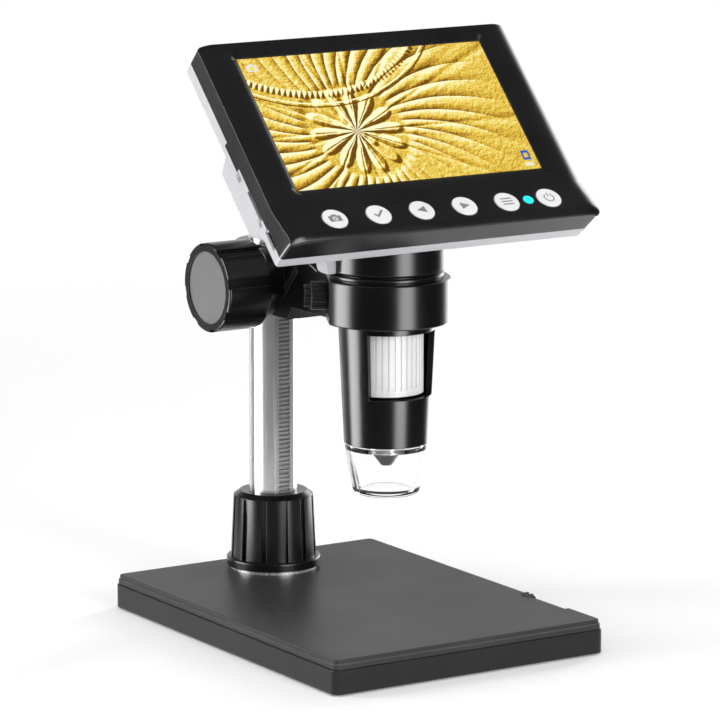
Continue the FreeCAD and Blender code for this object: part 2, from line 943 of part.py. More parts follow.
def makeWheel():
    wheel = cylinder(wheelRadius, wheelBottom, wheelTop, 0, barrelY)
    wheel = wheel.cut(cylinder(wheelBore, wheelBottom - cutMargin, wheelTop + cutMargin, 0, barrelY))
    grooves = []
    for index in range(wheelRibs):
        groove = box(
            (-ribGroove / 2, wheelRadius - ribDepth, wheelBottom + wheelBand),
            (ribGroove / 2, wheelRadius + cutMargin, wheelTop + cutMargin),
        )
        groove.rotate(originPoint, axisZ, fullTurn / wheelRibs * index)
        groove.translate(Vector(0, barrelY, 0))
        grooves.append(groove)
    return wheel.cut(grooves)


def makeLensCell():
    profile = [
        (pupilRadius, lensTipZ),
        (lensTip, lensTipZ),
        (lensRim, lensRimZ),
        (lensRim, lensRimZ + 1.0),
        (lensNeckRadius, lensRimZ + 1.0),
        (lensNeckRadius, lensTubeBottom),
        (lensTube, lensTubeBottom),
        (lensTube, lensTopZ),
        (pupilRadius, lensTopZ),
    ]
    return revolve(profile, 0, barrelY)


def makeWheelSeat():
    """Inner ring fixed in the barrel, on which the focus wheel rides and in which the lens slides."""
    profile = [
        (lensTube + runFit, seatBottom),
        (barrelRadiusAt(seatBottom) - barrelWall, seatBottom),
        (barrelRadiusAt(seatTop) - barrelWall, seatTop),
        (seatHub, seatTop),
        (seatHub, wheelBottom),
        (lensTube + runFit, wheelBottom),
    ]
    return revolve(profile, 0, barrelY)


def makeLightBoard():
    radius = barrelRadiusAt(lightBoardZ) - barrelWall - runFit
    top = lightBoardZ + lightBoardThick
    board = cylinder(radius, lightBoardZ, top, 0, barrelY)
    return board.cut(cylinder(lensRim + lensGap, lightBoardZ - cutMargin, top + cutMargin, 0, barrelY))


def makeLamps():
    lamps = []
    for index in range(lampCount):
        lamp = box(
            (lampCircle - lampSize / 2, -lampSize / 2, lightBoardZ - lampLift),
            (lampCircle + lampSize / 2, lampSize / 2, lightBoardZ),
        )
        lamp.rotate(originPoint, axisZ, fullTurn / lampCount * index)
        lamp.translate(Vector(0, barrelY, 0))
        lamps.append(lamp)
    return group(lamps)


def makeSensorBoard():
    board = cylinder(sensorRadius, sensorZ, sensorZ + sensorThick, 0, barrelY)
    chipBottom = sensorZ - sensorThick
    chip = box((-chipHalf, barrelY - chipHalf, chipBottom), (chipHalf, barrelY + chipHalf, sensorZ))
    holder = cylinder(holderRadius, sensorZ - holderHeight, chipBottom, 0, barrelY)
    return fuse([board, chip, holder])


def makeNoseCap():
    """Clear cap below the barrel, with a spigot that plugs into it."""
    lip = barrelEndZ
    spigot = barrelEndRadius - barrelWall - slideFit
    outer = revolve(
        [(0, noseBottom), (noseEndRadius, noseBottom), (noseTopRadius, lip), (0, lip)], 0, barrelY
    )
    low = []
    for edge in outer.Edges:
        bounds = edge.BoundBox
        if bounds.ZMax < noseBottom + 0.1 and bounds.XLength > noseEndRadius:
            low.append(edge)
    outer = outer.makeFillet(noseRound, low)
    outer = outer.fuse(cylinder(spigot, lip, lip + noseSpigot, 0, barrelY))
    floor = noseBottom + noseFloor
    hollow = revolve(
        [
            (0, floor),
            (noseEndRadius - noseWall - noseRound / 2, floor),
            (noseEndRadius - noseWall, floor + noseRound / 2),
            (noseTopRadius - noseWall - noseTaper, lip - noseShoulder),
            (spigot - noseWall, lip - noseLedge),
            (spigot - noseWall, lip + noseSpigot),
            (0, lip + noseSpigot),
        ],
        0,
        barrelY,
    )
    return outer.cut(hollow)


# Head

def outlineAt(z, inset=0.0):
    """The head's outline at a depth, drawn in a little towards the back."""
    share = (faceZ - z) / (faceZ - splitZ)
    half = headHalf - sideTaper * share - inset
    low = chinEnd + endTaper * share + inset
    high = headTop - inset
    return (half, low, high, headCorner - inset / 4, z)


def faceBlock(inset, faceDrop):
    """The front frame's plain form: flat above, turned up at the chin."""
    block = roundedLoft(outlineAt(splitZ, inset), outlineAt(blockTop, inset))
    reach = headHalf + 10.0
    top = faceZ - faceDrop
    end = chinPoint(chinReach)
    lift = [
        (headTop + 10.0, top),
        (chinBend, top),
        (end.y, end.z - faceDrop),
        (end.y, 2 * blockTop),
        (headTop + 10.0, 2 * blockTop),
    ]
    return block.cut(extrudeX(lift, -reach, reach))


def arcPoint(centre, radius, degrees):
    """Point on an arc in the (x, z) or (y, z) plane, measured from straight out of the face."""
    angle = math.radians(degrees)
    return centre[0] + radius * math.sin(angle), centre[1] + radius * math.cos(angle)


def sideRolls():
    """What is cut off beside the face, where it rolls down to the side walls."""
    tools = []
    for side in (-1, 1):
        centre = (side * rollHalf, faceZ - rollRadius)
        points = []
        for degrees in (0.0, rollEnd / 2, rollEnd):
            x, z = arcPoint(centre, rollRadius, side * degrees)
            points.append(Vector(x, chinBend, z))
        top = faceZ + blockTop
        outer = Vector(points[2].x, chinBend, top)
        inner = Vector(points[0].x, chinBend, top)
        edges = [
            Part.Arc(*points).toShape(),
            Part.makeLine(points[2], outer),
            Part.makeLine(outer, inner),
            Part.makeLine(inner, points[0]),
        ]
        section = Part.Face(Part.Wire(edges))
        upper = section.extrude(Vector(0, headTop - chinBend + cutMargin, 0))
        lower = section.extrude(chinPoint(chinReach) - chinPoint(0.0))
        tools += [upper, lower]
    return tools


def lowRoll():
    """What is cut off below the chin, where its face rolls down to the bottom wall."""
    slope = math.tan(math.radians(chinAngle))
    centreY = chinEnd + lowRound
    faceAt = faceZ + (chinBend - centreY) * slope
    centre = (centreY, faceAt - lowRound / math.cos(math.radians(chinAngle)))
    points = []
    for degrees in (chinAngle, (chinAngle - 90.0) / 2, -90.0):
        y, z = arcPoint(centre, lowRound, degrees)
        points.append(Vector(-headHalf - cutMargin, y, z))
    top = centre[1] + 4 * lowRound
    reach = 3 * lowRound
    outer = [
        points[2] - axisY * reach,
        Vector(points[2].x, points[2].y - reach, top),
        Vector(points[0].x, points[0].y, top),
    ]
    edges = [Part.Arc(*points).toShape()]
    corners = [points[2]] + outer + [points[0]]
    for start, end in zip(corners, corners[1:]):
        edges.append(Part.makeLine(start, end))
    section = Part.Face(Part.Wire(edges))
    return section.extrude(axisX * (2 * headHalf + 2 * cutMargin))


keySpots = [keyFirst + keyPitch * index for index in range(keyCount)]


def chinCylinder(x, radius, low, high):
    """A cylinder square to the chin's face at a key's place, heights measured from the face."""
    tool = Part.makeCylinder(radius, high - low, Vector(x, -keyChinY, low))
    tool.Placement = chinPlace.multiply(tool.Placement)
    return tool


bezelHalfX = activeWidth / 2 + bezelWidth
bezelLow = -activeHeight / 2 - bezelWidth
bezelHigh = activeHeight / 2 + bezelWidth
openHalfX = activeWidth / 2 + openingGap
openHalfY = activeHeight / 2 + openingGap
rimHalf = headHalf - sideTaper


def makeFrontFrame():
    outer = faceBlock(0.0, 0.0).cut(sideRolls() + [lowRoll()])
    inner = faceBlock(frameWall, frameWall)
    deep = roundedLoft(outlineAt(splitZ - cutMargin, frameWall), outlineAt(splitZ + 0.5, frameWall))
    frame = outer.cut(inner).cut(deep)
    bezel = roundedLoft(
        (openHalfX, -openHalfY, openHalfY, openingCorner, 0.0),
        (bezelHalfX, bezelLow, bezelHigh, bezelCorner, faceZ),
    )
    bezelMouth = roundedSlab(bezelHalfX, bezelLow, bezelHigh, bezelCorner, faceZ, faceZ + cutMargin)
    opening = roundedSlab(openHalfX, -openHalfY, openHalfY, openingCorner, -cutBelow, 0.0)
    cuts = [bezel, bezelMouth, opening]
    for x in keySpots:
        cuts.append(chinCylinder(x, keyHole, -cutBelow, cutAbove))
    cuts.append(chinCylinder(lightX, lightRadius, -cutBelow, cutAbove))
    frame = frame.cut(cuts)
    tongue = tongueSolid(0.0)
    frame = frame.fuse(tongue)
    frame = frame.cut([usbRoom(), cardRoom()])
    return placed(frame.removeSplitter())


def tongueSolid(grow):
    """Tab of the front frame that reaches into the rear shell's rim on the left."""
    half = headHalf - sideTaper
    return box(
        (-half, tongueBottom - grow, splitZ - tongueDrop - grow),
        (-half + frameWall, tongueTop + grow, splitZ + 0.4 * (1 - min(1, grow * 100))),
    )


def usbRoom():
    half = headHalf
    return box(
        (-half - cutMargin, usbY - usbWidth / 2, usbZ - usbHeight / 2),
        (-half + sideTaper + usbDepth, usbY + usbWidth / 2, usbZ + usbHeight / 2),
    )


def cardRoom():
    half = headHalf
    return box(
        (-half - cutMargin, cardY - cardWidth / 2, cardZ - cardHeight / 2),
        (-half + sideTaper + cardDepth, cardY + cardWidth / 2, cardZ + cardHeight / 2),
    )


def headToWorldY(y, z):
    point = headPlace.multVec(Vector(0, y, z))
    return point.y, point.z


def boxProfile(inset):
    """Side outline of the rear box in the part's frame: (y, z) corners."""
    topFront = headToWorldY(boxTopShell - inset * 1.4, rimBack + 2.0)
    topBack = headToWorldY(boxUpper - inset * 0.6, boxBack + inset)
    back = headToWorldY(0, boxBack + inset)
    slope = math.tan(math.radians(screenTilt))
    bottomZ = boxBottomZ + inset
    lowBack = (back[0] - (back[1] - bottomZ) / slope, bottomZ)
    rim = headToWorldY(0, rimBack + 2.0)
    lowFront = (rim[0] - (rim[1] - bottomZ) / slope, bottomZ)
    return [topFront, topBack, lowBack, lowFront]


def rearBox(inset):
    profile = boxProfile(inset)
    body = extrudeX(profile, -boxHalf + inset, boxHalf - inset)
    return toHead(body)


def skirtSolid():
    """Half funnel between the rear box and the neck, behind the neck only."""
    funnel = cone(skirtRadius, skirtSpread, skirtBottom, skirtTop, 0, barrelY)
    low = (-skirtSpread, barrelY - skirtSpread, skirtBottom - cutMargin)
    front = box(low, (skirtSpread, barrelY, skirtTop + cutMargin))
    return toHead(funnel.cut(front))


def makeRearShell():
    half, low, high, corner, depth = outlineAt(splitZ)
    rimOuter = roundedLoft((half - rimTaper, low + rimTaper, high, corner, rimBack), outlineAt(splitZ))
    back = [edge for edge in rimOuter.Edges if edge.BoundBox.ZMax < rimBack + 0.1]
    rimOuter = rimOuter.makeFillet(rimRound, back)
    boxOuter = rearBox(0.0)
    boxEdges = []
    for edge in boxOuter.Edges:
        bounds = edge.BoundBox
        if bounds.ZMin < boxBack + 3.0 or bounds.ZMin < rimBack - 4.0:
            boxEdges.append(edge)
    boxOuter = boxOuter.makeFillet(boxRound, boxEdges)
    frontCut = roundedSlab(headHalf, chinEnd, headTop, headCorner, rimBack + shellWall / 2, faceZ + cutReach)
    boxOuter = boxOuter.cut(frontCut)
    skirt = skirtSolid().cut(frontCut)
    shell = rimOuter.fuse([boxOuter, skirt])
    rimInner = roundedSlab(
        half - rimInset, low + rimLowInset, high - rimLowInset, headCorner, rimBack + shellWall, faceZ
    )
    boxInner = rearBox(shellWall)
    innerCut = roundedSlab(headHalf, chinEnd, headTop, headCorner, rimBack + shellWall, faceZ + cutReach)
    boxInner = boxInner.cut(innerCut)
    neckHole = toHead(cylinder(neckRadius, skirtBottom - cutMargin, neckTop, 0, barrelY))
    cableHole = toHead(cylinder(cableRadius, neckTop - cutMargin, neckTop + cableHeight, 0, barrelY))
    shell = shell.cut([rimInner, boxInner, neckHole, cableHole])
    shell = shell.cut([tongueSolid(0.0), usbRoom(), cardRoom()])
    holes = []
    for x, y in rearScrewSpots:
        start = Vector(x, y, rimBack)
        holes.append(Part.makeCylinder(rearScrewHead, rearScrewSink + rearScrewThick, start))
        holes.append(Part.makeCylinder(rearScrewShank, 2 * shellWall, start))
    return placed(shell.cut(holes).removeSplitter())


def makeRearScrews():
    screws = []
    for x, y in rearScrewSpots:
        headAt = rimBack + rearScrewSink
        shankAt = headAt + rearScrewThick
        head = Part.makeCylinder(rearScrewHead, rearScrewThick, Vector(x, y, headAt))
        shank = Part.makeCylinder(rearScrewShank, rearScrewLength, Vector(x, y, shankAt))
        low = (x - rearScrewHead, y - rearSlotHalf, rimBack)
        slot = box(low, (x + rearScrewHead, y + rearSlotHalf, headAt + rearScrewSink))
        screws.append(head.fuse(shank).cut(slot))
    return placed(group(screws))


def headSlab(halfX, lowY, highY, bottom, top, corner=0.8):
    return placed(roundedSlab(halfX, lowY, highY, corner, bottom, top))


frameInside = faceZ - frameWall


def makeDisplayPanel():
    half = openHalfX - slideFit
    halfHigh = openHalfY - slideFit
    return headSlab(half, -halfHigh, halfHigh, frameInside, -panelDrop, openingCorner)


def makeDisplayFrame():
    """Metal-backed light unit of the display, held against the front frame's inside."""
    half = activeWidth / 2 + panelMargin
    halfHigh = activeHeight / 2 + panelMargin
    return headSlab(half, -halfHigh, halfHigh, frameInside - panelThick, frameInside)


def makeMainBoard():
    board = roundedSlab(boardHalf, boardLow, boardHigh, 2.0, boardTop - boardThick, boardTop)
    return placed(board)


def makeBattery():
    floor = boxBack + shellWall
    return headSlab(batteryHalf, batteryLow, batteryHigh, floor, floor + batteryThick, 2.0)


def makeUsbSocket():
    outer = box(
        (-rimHalf + socketInset, usbY - usbWidth / 2 + slideFit, usbZ - usbHeight / 2),
        (-rimHalf + usbDepth, usbY + usbWidth / 2 - slideFit, usbZ + usbHeight / 2 - slideFit),
    )
    inner = box(
        (-rimHalf, usbY - usbWidth / 2 + usbShell, usbZ - usbHeight / 2 + usbShell),
        (-rimHalf + usbDepth - 1.0, usbY + usbWidth / 2 - usbShell, usbZ + usbHeight / 2 - usbShell),
    )
    tongue = box(
        (-rimHalf + 1.2, usbY - usbWidth / 4, usbZ - 0.1),
        (-rimHalf + usbDepth - 0.5, usbY + usbWidth / 4, usbZ + 0.5),
    )
    return placed(outer.cut(inner).fuse(tongue))


def makeCardSocket():
    outer = box(
        (-rimHalf + 1.0, cardY - cardWidth / 2 + slideFit, cardZ - cardHeight / 2),
        (-rimHalf + cardDepth, cardY + cardWidth / 2 - slideFit, cardZ + cardHeight / 2 - slideFit),
    )
    slotHalf = 0.45
    slot = box(
        (-rimHalf, cardY - cardWidth / 2 + 0.3, cardZ - slotHalf),
        (-rimHalf + cardDepth - 1.0, cardY + cardWidth / 2 - 0.3, cardZ + slotHalf),
    )
    return placed(outer.cut(slot))


def chinBox(low, high):
    """A box in the chin's own frame: x across, y up the chin, z out of it."""
    shape = box(low, high)
    shape.Placement = chinPlace.multiply(shape.Placement)
    return shape


keyBottom = -frameWall - keyFlangeThick
switchTop = keyBottom - keyTravel


def makeKeyBoard():
    top = switchTop - switchHeight
    low = (keySpots[0] - keyBoardEnd, -keyChinY - keyBoardLow, top - boardThick)
    high = (keySpots[-1] + keyBoardEnd, -keyChinY + keyBoardHigh, top)
    return placed(chinBox(low, high))


def makeSwitches():
    half = switchSize / 2
    switches = []
    for x in keySpots:
        low = (x - half, -keyChinY - half, switchTop - switchHeight)
        high = (x + half, -keyChinY + half, switchTop)
        switches.append(chinBox(low, high))
    return placed(group(switches))


def makeIndicator():
    lens = chinCylinder(lightX, lightRadius - slideFit, keyBottom, lightRise)
    foot = chinCylinder(lightX, lightRadius + lightFlange, switchTop - switchHeight, -frameWall)
    return placed(lens.fuse(foot))


def makeKey(x):
    cap = chinCylinder(x, keyRadius, keyBottom, keyRise)
    rim = [edge for edge in cap.Edges if edge.Closed]
    cap = cap.makeFillet(keyEdge, rim)
    low = (x - keyEarX, -keyChinY - keyEarY, keyBottom)
    flange = chinBox(low, (x + keyEarX, -keyChinY + keyEarY, keyBottom + keyFlangeThick))
    return placed(cap.fuse(flange))


keyNames = ("key_photo", "key_confirm", "key_left", "key_right", "key_menu", "key_power")


def build():
    save(makeBaseTray(), "base_tray")
    save(makeBasePlate(), "base_plate")
    save(makeBallast(), "base_ballast")
    save(makeFeet(), "rubber_feet")
    save(makeBaseScrews(), "base_screws")
    save(makeColumnSocket(), "column_socket")
    save(makeColumnBolt(), "column_bolt")
    save(makeColumn(), "column")
    save(makeRack(), "gear_rack")
    save(makeColumnCap(), "column_cap")
    save(makeColumnNut(), "column_nut")
    save(makeCarriage(), "carriage")
    save(makeArm(), "arm")
    save(makeThumbScrew(), "thumb_screw")
    save(makePinion(), "pinion")
    save(makeKnob(-1), "knob_left")
    save(makeKnob(1), "knob_right")
    save(makeKnobDiscs(), "knob_discs")
    save(makeBarrel(), "barrel")
    save(makeBead(), "bead_ring")
    save(makeNeck(), "neck")
    save(makeWheel(), "focus_wheel")
    save(makeLensCell(), "lens_cell")
    save(makeWheelSeat(), "wheel_seat")
    save(makeLightBoard(), "light_board")
    save(makeLamps(), "lamps")
    save(makeSensorBoard(), "sensor_board")
    save(makeNoseCap(), "nose_cap")
    save(makeFrontFrame(), "front_frame")
    save(makeRearShell(), "rear_shell")
    save(makeRearScrews(), "rear_screws")
    save(makeDisplayPanel(), "display_panel")
    save(makeDisplayFrame(), "display_frame")
    save(makeMainBoard(), "main_board")
    save(makeBattery(), "battery")
    save(makeUsbSocket(), "usb_socket")
    save(makeCardSocket(), "card_socket")
    save(makeKeyBoard(), "key_board")
    save(makeSwitches(), "key_switches")
    save(makeIndicator(), "indicator_light")
    for name, x in zip(keyNames, keySpots):
        save(makeKey(x), name)


build()
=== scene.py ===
import math

import bmesh
import bpy
from mathutils import Matrix, Vector


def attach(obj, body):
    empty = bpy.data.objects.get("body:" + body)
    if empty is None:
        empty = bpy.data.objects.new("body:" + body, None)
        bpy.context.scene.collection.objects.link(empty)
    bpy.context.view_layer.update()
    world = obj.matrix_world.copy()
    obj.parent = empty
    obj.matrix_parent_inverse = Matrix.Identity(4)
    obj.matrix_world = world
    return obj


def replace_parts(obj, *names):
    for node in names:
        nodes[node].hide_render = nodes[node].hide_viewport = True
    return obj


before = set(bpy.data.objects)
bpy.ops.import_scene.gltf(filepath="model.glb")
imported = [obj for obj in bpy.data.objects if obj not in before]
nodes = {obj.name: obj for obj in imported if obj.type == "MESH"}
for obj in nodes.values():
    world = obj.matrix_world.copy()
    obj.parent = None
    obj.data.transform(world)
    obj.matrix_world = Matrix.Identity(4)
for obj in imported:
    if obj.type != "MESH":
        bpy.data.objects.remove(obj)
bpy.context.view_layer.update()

# Digital microscope on a rack stand: finishes and fine pieces around the fixed frame.
# Metres, +X to the user's right, -Y towards the user, +Z up, desk at z = 0.

mm = 0.001


# Node helpers

# A shader node; settings are its own properties, inputs its sockets by name with _ for a space.
def addNode(tree, kind, settings=None, **inputs):
    node = tree.nodes.new(kind)
    for name, value in (settings or {}).items():
        setattr(node, name, value)
    for name, value in inputs.items():
        connect(tree, value, node.inputs[name.replace("_", " ")])
    return node


def connect(tree, value, socket):
    if isinstance(value, bpy.types.NodeSocket):
        tree.links.new(value, socket)
    else:
        socket.default_value = value


def calc(tree, operation, *values):
    node = addNode(tree, "ShaderNodeMath", {"operation": operation})
    for value, socket in zip(values, node.inputs):
        connect(tree, value, socket)
    return node.outputs[0]


# The same with vectors; a dot product or a length gives a number.
def calcVector(tree, operation, *values):
    node = addNode(tree, "ShaderNodeVectorMath", {"operation": operation})
    for value, socket in zip(values, node.inputs):
        connect(tree, value, socket)
    return node.outputs["Value" if operation in ("DOT_PRODUCT", "LENGTH") else "Vector"]


# A colour ramp; stops are (place, colour).
def ramp(tree, value, stops):
    node = tree.nodes.new("ShaderNodeValToRGB")
    elements = node.color_ramp.elements
    while len(elements) < len(stops):
        elements.new(0.5)
    for element, (place, tone) in zip(elements, stops):
        element.position = place
        element.color = (*tone, 1)
    connect(tree, value, node.inputs[0])
    return node.outputs[0]


# The range fromLow to fromHigh carried over to toLow to toHigh, held at both ends.
def remap(tree, value, fromLow, fromHigh, toLow, toHigh, smooth=False):
    node = tree.nodes.new("ShaderNodeMapRange")
    if smooth:
        node.interpolation_type = "SMOOTHSTEP"
    for given, socket in zip((value, fromLow, fromHigh, toLow, toHigh), node.inputs):
        connect(tree, given, socket)
    return node.outputs[0]


def smoothStep(tree, value, low, high):
    return remap(tree, value, low, high, 0.0, 1.0, True)


# Two colours, tuples or sockets, mixed by a share; sockets 6, 7 and 2 are the node's colour ones.
def blendColour(tree, share, first, second):
    node = addNode(tree, "ShaderNodeMix", {"data_type": "RGBA"})
    connect(tree, share, node.inputs[0])
    for value, socket in ((first, node.inputs[6]), (second, node.inputs[7])):
        connect(tree, (*value, 1) if isinstance(value, tuple) else value, socket)
    return node.outputs[2]


# An empty shader node group; inputs are (name, socket kind, value), outputs (name, socket kind).
def newGroup(name, inputs, outputs):
    tree = bpy.data.node_groups.new(name, "ShaderNodeTree")
    for label, kind, value in inputs:
        socket = tree.interface.new_socket(label, in_out="INPUT", socket_type=kind)
        if value is not None:
            socket.default_value = value
    for label, kind in outputs:
        tree.interface.new_socket(label, in_out="OUTPUT", socket_type=kind)
    return tree, tree.nodes.new("NodeGroupInput"), tree.nodes.new("NodeGroupOutput")


def placeGroup(tree, group, **inputs):
    node = tree.nodes.new("ShaderNodeGroup")
    node.node_tree = group
    for name, value in inputs.items():
        connect(tree, value, node.inputs[name.replace("_", " ")])
    return node


floatSocket = "NodeSocketFloat"
vectorSocket = "NodeSocketVector"


# Shared effects

# Fine texture of moulded plastic, with slow uneven patches.
def makeMouldGrain():
    tree, given, made = newGroup(
        "mouldGrain",
        [
            ("Vector", vectorSocket, None),
            ("Grain Scale", floatSocket, 2600.0),
            ("Patch Scale", floatSocket, 45.0),
        ],
        [("Height", floatSocket), ("Patches", floatSocket)],
    )
    place = given.outputs["Vector"]
    fine = given.outputs["Grain Scale"]
    coarse = given.outputs["Patch Scale"]
    pitShare = 0.5
    grain = addNode(tree, "ShaderNodeTexNoise", Vector=place, Scale=fine, Detail=3.0)
    pits = addNode(tree, "ShaderNodeTexVoronoi", Vector=place, Scale=fine)
    height = calc(tree, "MULTIPLY_ADD", pits.outputs["Distance"], pitShare, grain.outputs["Fac"])
    patches = addNode(tree, "ShaderNodeTexNoise", Vector=place, Scale=coarse, Detail=4.0)
    connect(tree, height, made.inputs["Height"])
    connect(tree, remap(tree, patches.outputs["Fac"], 0.3, 0.7, 0.0, 1.0), made.inputs["Patches"])
    return tree


# Soft-edged normal and a mask along sharp edges, where the plastic gets a painted highlight.
def makeEdgeHighlight():
    tree, given, made = newGroup(
        "edgeHighlight",
        [("Radius", floatSocket, 0.0003), ("Reach", floatSocket, 0.12)],
        [("Normal", vectorSocket), ("Edge", floatSocket)],
    )
    soft = addNode(tree, "ShaderNodeBevel", {"samples": 4}, Radius=given.outputs["Radius"])
    plain = addNode(tree, "ShaderNodeNewGeometry")
    alike = calcVector(tree, "DOT_PRODUCT", soft.outputs[0], plain.outputs["Normal"])
    away = calc(tree, "SUBTRACT", 1.0, alike)
    connect(tree, soft.outputs[0], made.inputs["Normal"])
    connect(tree, smoothStep(tree, away, 0.0, given.outputs["Reach"]), made.inputs["Edge"])
    return tree


# Long fine lines left by drawing or brushing, along the given vector's Z.
def makeDrawnLines():
    tree, given, made = newGroup(
        "drawnLines",
        [("Vector", vectorSocket, None), ("Across", floatSocket, 2400.0), ("Along", floatSocket, 12.0)],
        [("Lines", floatSocket)],
    )
    across = given.outputs["Across"]
    stretch = addNode(tree, "ShaderNodeCombineXYZ", X=across, Y=across, Z=given.outputs["Along"])
    place = calcVector(tree, "MULTIPLY", given.outputs["Vector"], stretch.outputs[0])
    lines = addNode(tree, "ShaderNodeTexNoise", Vector=place, Scale=1.0, Detail=2.0)
    connect(tree, lines.outputs["Fac"], made.inputs["Lines"])
    return tree


mouldGrain = makeMouldGrain()
edgeHighlight = makeEdgeHighlight()
drawnLines = makeDrawnLines()
print("shared effects made")


# Materials

# A material with its tree, shader and object coordinates; values set the shader's plain sockets by name
# with _ for a space.
def startMaterial(name, **values):
    material = bpy.data.materials.new(name)
    material.use_nodes = True
    tree = material.node_tree
    shader = tree.nodes["Principled BSDF"]
    for label, value in values.items():
        shader.inputs[label.replace("_", " ")].default_value = value
    place = tree.nodes.new("ShaderNodeTexCoord").outputs["Object"]
    return material, tree, shader, place


def addBump(tree, height, strength, distance, normal=None):
    bump = addNode(tree, "ShaderNodeBump", Height=height, Strength=strength, Distance=distance)
    if normal is not None:
        connect(tree, normal, bump.inputs["Normal"])
    return bump.outputs[0]


# Moulded plastic: two close tones in patches, a painted highlight along the edges, fine grain.
def makePlastic(name, look):
    material, tree, shader, place = startMaterial(name, Specular_IOR_Level=look["specular"])
    grain = placeGroup(tree, mouldGrain, Vector=place, Grain_Scale=look["grainScale"])
    edge = placeGroup(tree, edgeHighlight, Radius=look["edgeRadius"])
    patches = grain.outputs["Patches"]
    body = blendColour(tree, patches, look["dark"], look["light"])
    # Painted highlight: the base colour turns lighter along the edges.
    edgeHighlightShare = calc(tree, "MULTIPLY", edge.outputs["Edge"], look["edgeHighlightAmount"])
    connect(tree, blendColour(tree, edgeHighlightShare, body, look["edge"]), shader.inputs["Base Color"])
    low, high = look["roughness"]
    connect(tree, remap(tree, patches, 0.0, 1.0, low, high), shader.inputs["Roughness"])
    height = grain.outputs["Height"]
    normal = addBump(tree, height, look["grain"], look["grainDepth"], edge.outputs["Normal"])
    connect(tree, normal, shader.inputs["Normal"])
    return material


# The noise of drawn lines lies mostly between these two values.
lineRange = (0.3, 0.7)
lineDepth = 0.00002


# Drawn or turned metal with fine lines.
def makeMetal(name, look):
    material, tree, shader, place = startMaterial(name, Metallic=look.get("metallic", 1.0))
    lines = placeGroup(tree, drawnLines, Vector=place, Across=look["across"], Along=look["along"])
    edge = placeGroup(tree, edgeHighlight, Radius=look["edgeRadius"])
    mark = lines.outputs["Lines"]
    tones = zip(lineRange, (look["dark"], look["light"]))
    connect(tree, ramp(tree, mark, list(tones)), shader.inputs["Base Color"])
    connect(tree, remap(tree, mark, *lineRange, *look["roughness"]), shader.inputs["Roughness"])
    normal = addBump(tree, mark, look["depth"], lineDepth, edge.outputs["Normal"])
    connect(tree, normal, shader.inputs["Normal"])
    return material


# In each look, the edge colour and its amount give a painted highlight along the edges; dark and light are
# the body's own tones.
plasticLooks = {
    "satinBlack": dict(dark=(0.0035, 0.0035, 0.0040), light=(0.0060, 0.0060, 0.0065),
                       edge=(0.09, 0.09, 0.095), edgeHighlightAmount=0.3, specular=0.42, roughness=(0.20, 0.25),
                       grainScale=2600.0, grain=0.07, grainDepth=0.00002, edgeRadius=0.00035),
    "glossBlack": dict(dark=(0.0035, 0.0035, 0.0040), light=(0.0060, 0.0060, 0.0065),
                       edge=(0.12, 0.12, 0.125), edgeHighlightAmount=0.3, specular=0.42, roughness=(0.17, 0.22),
                       grainScale=3200.0, grain=0.05, grainDepth=0.00002, edgeRadius=0.0004),
    "plateBlack": dict(dark=(0.030, 0.030, 0.031), light=(0.040, 0.040, 0.041), edge=(0.35, 0.35, 0.36),
                       edgeHighlightAmount=0.6, specular=0.22, roughness=(0.36, 0.42), grainScale=2200.0, grain=0.18,
                       grainDepth=0.00003, edgeRadius=0.0003),
    "screenFace": dict(dark=(0.006, 0.006, 0.007), light=(0.010, 0.010, 0.011), edge=(0.16, 0.16, 0.165),
                       edgeHighlightAmount=0.4, specular=0.4, roughness=(0.20, 0.26), grainScale=3000.0, grain=0.05,
                       grainDepth=0.00002, edgeRadius=0.0004),
    "shellWhite": dict(dark=(0.52, 0.52, 0.54), light=(0.57, 0.57, 0.59), edge=(0.80, 0.80, 0.81),
                       edgeHighlightAmount=0.4, specular=0.4, roughness=(0.38, 0.45), grainScale=2400.0, grain=0.10,
                       grainDepth=0.00003, edgeRadius=0.0004),
    "keyWhite": dict(dark=(0.78, 0.78, 0.79), light=(0.84, 0.84, 0.85), edge=(0.90, 0.90, 0.90),
                     edgeHighlightAmount=0.3, specular=0.5, roughness=(0.26, 0.32), grainScale=4000.0, grain=0.05,
                     grainDepth=0.00002, edgeRadius=0.00025),
    "wheelWhite": dict(dark=(0.74, 0.74, 0.745), light=(0.82, 0.82, 0.825), edge=(0.88, 0.88, 0.88),
                       edgeHighlightAmount=0.3, specular=0.45, roughness=(0.34, 0.40), grainScale=2600.0, grain=0.08,
                       grainDepth=0.00002, edgeRadius=0.00012),
    "discGrey": dict(dark=(0.135, 0.135, 0.136), light=(0.160, 0.160, 0.161), edge=(0.25, 0.25, 0.25),
                     edgeHighlightAmount=0.3, specular=0.25, roughness=(0.45, 0.52), grainScale=2600.0, grain=0.15,
                     grainDepth=0.00003, edgeRadius=0.0002),
    "footRubber": dict(dark=(0.020, 0.020, 0.020), light=(0.032, 0.032, 0.031), edge=(0.06, 0.06, 0.06),
                       edgeHighlightAmount=0.5, specular=0.25, roughness=(0.70, 0.80), grainScale=1800.0, grain=0.35,
                       grainDepth=0.00005, edgeRadius=0.0003),
    "cellCover": dict(dark=(0.20, 0.22, 0.26), light=(0.26, 0.28, 0.32), edge=(0.4, 0.4, 0.42),
                      edgeHighlightAmount=0.3, specular=0.4, roughness=(0.35, 0.45), grainScale=1500.0, grain=0.1,
                      grainDepth=0.00003, edgeRadius=0.0003),
    "iconGrey": dict(dark=(0.20, 0.20, 0.205), light=(0.25, 0.25, 0.255), edge=(0.30, 0.30, 0.30),
                     edgeHighlightAmount=0.2, specular=0.3, roughness=(0.40, 0.48), grainScale=5000.0, grain=0.05,
                     grainDepth=0.00001, edgeRadius=0.00005),
}

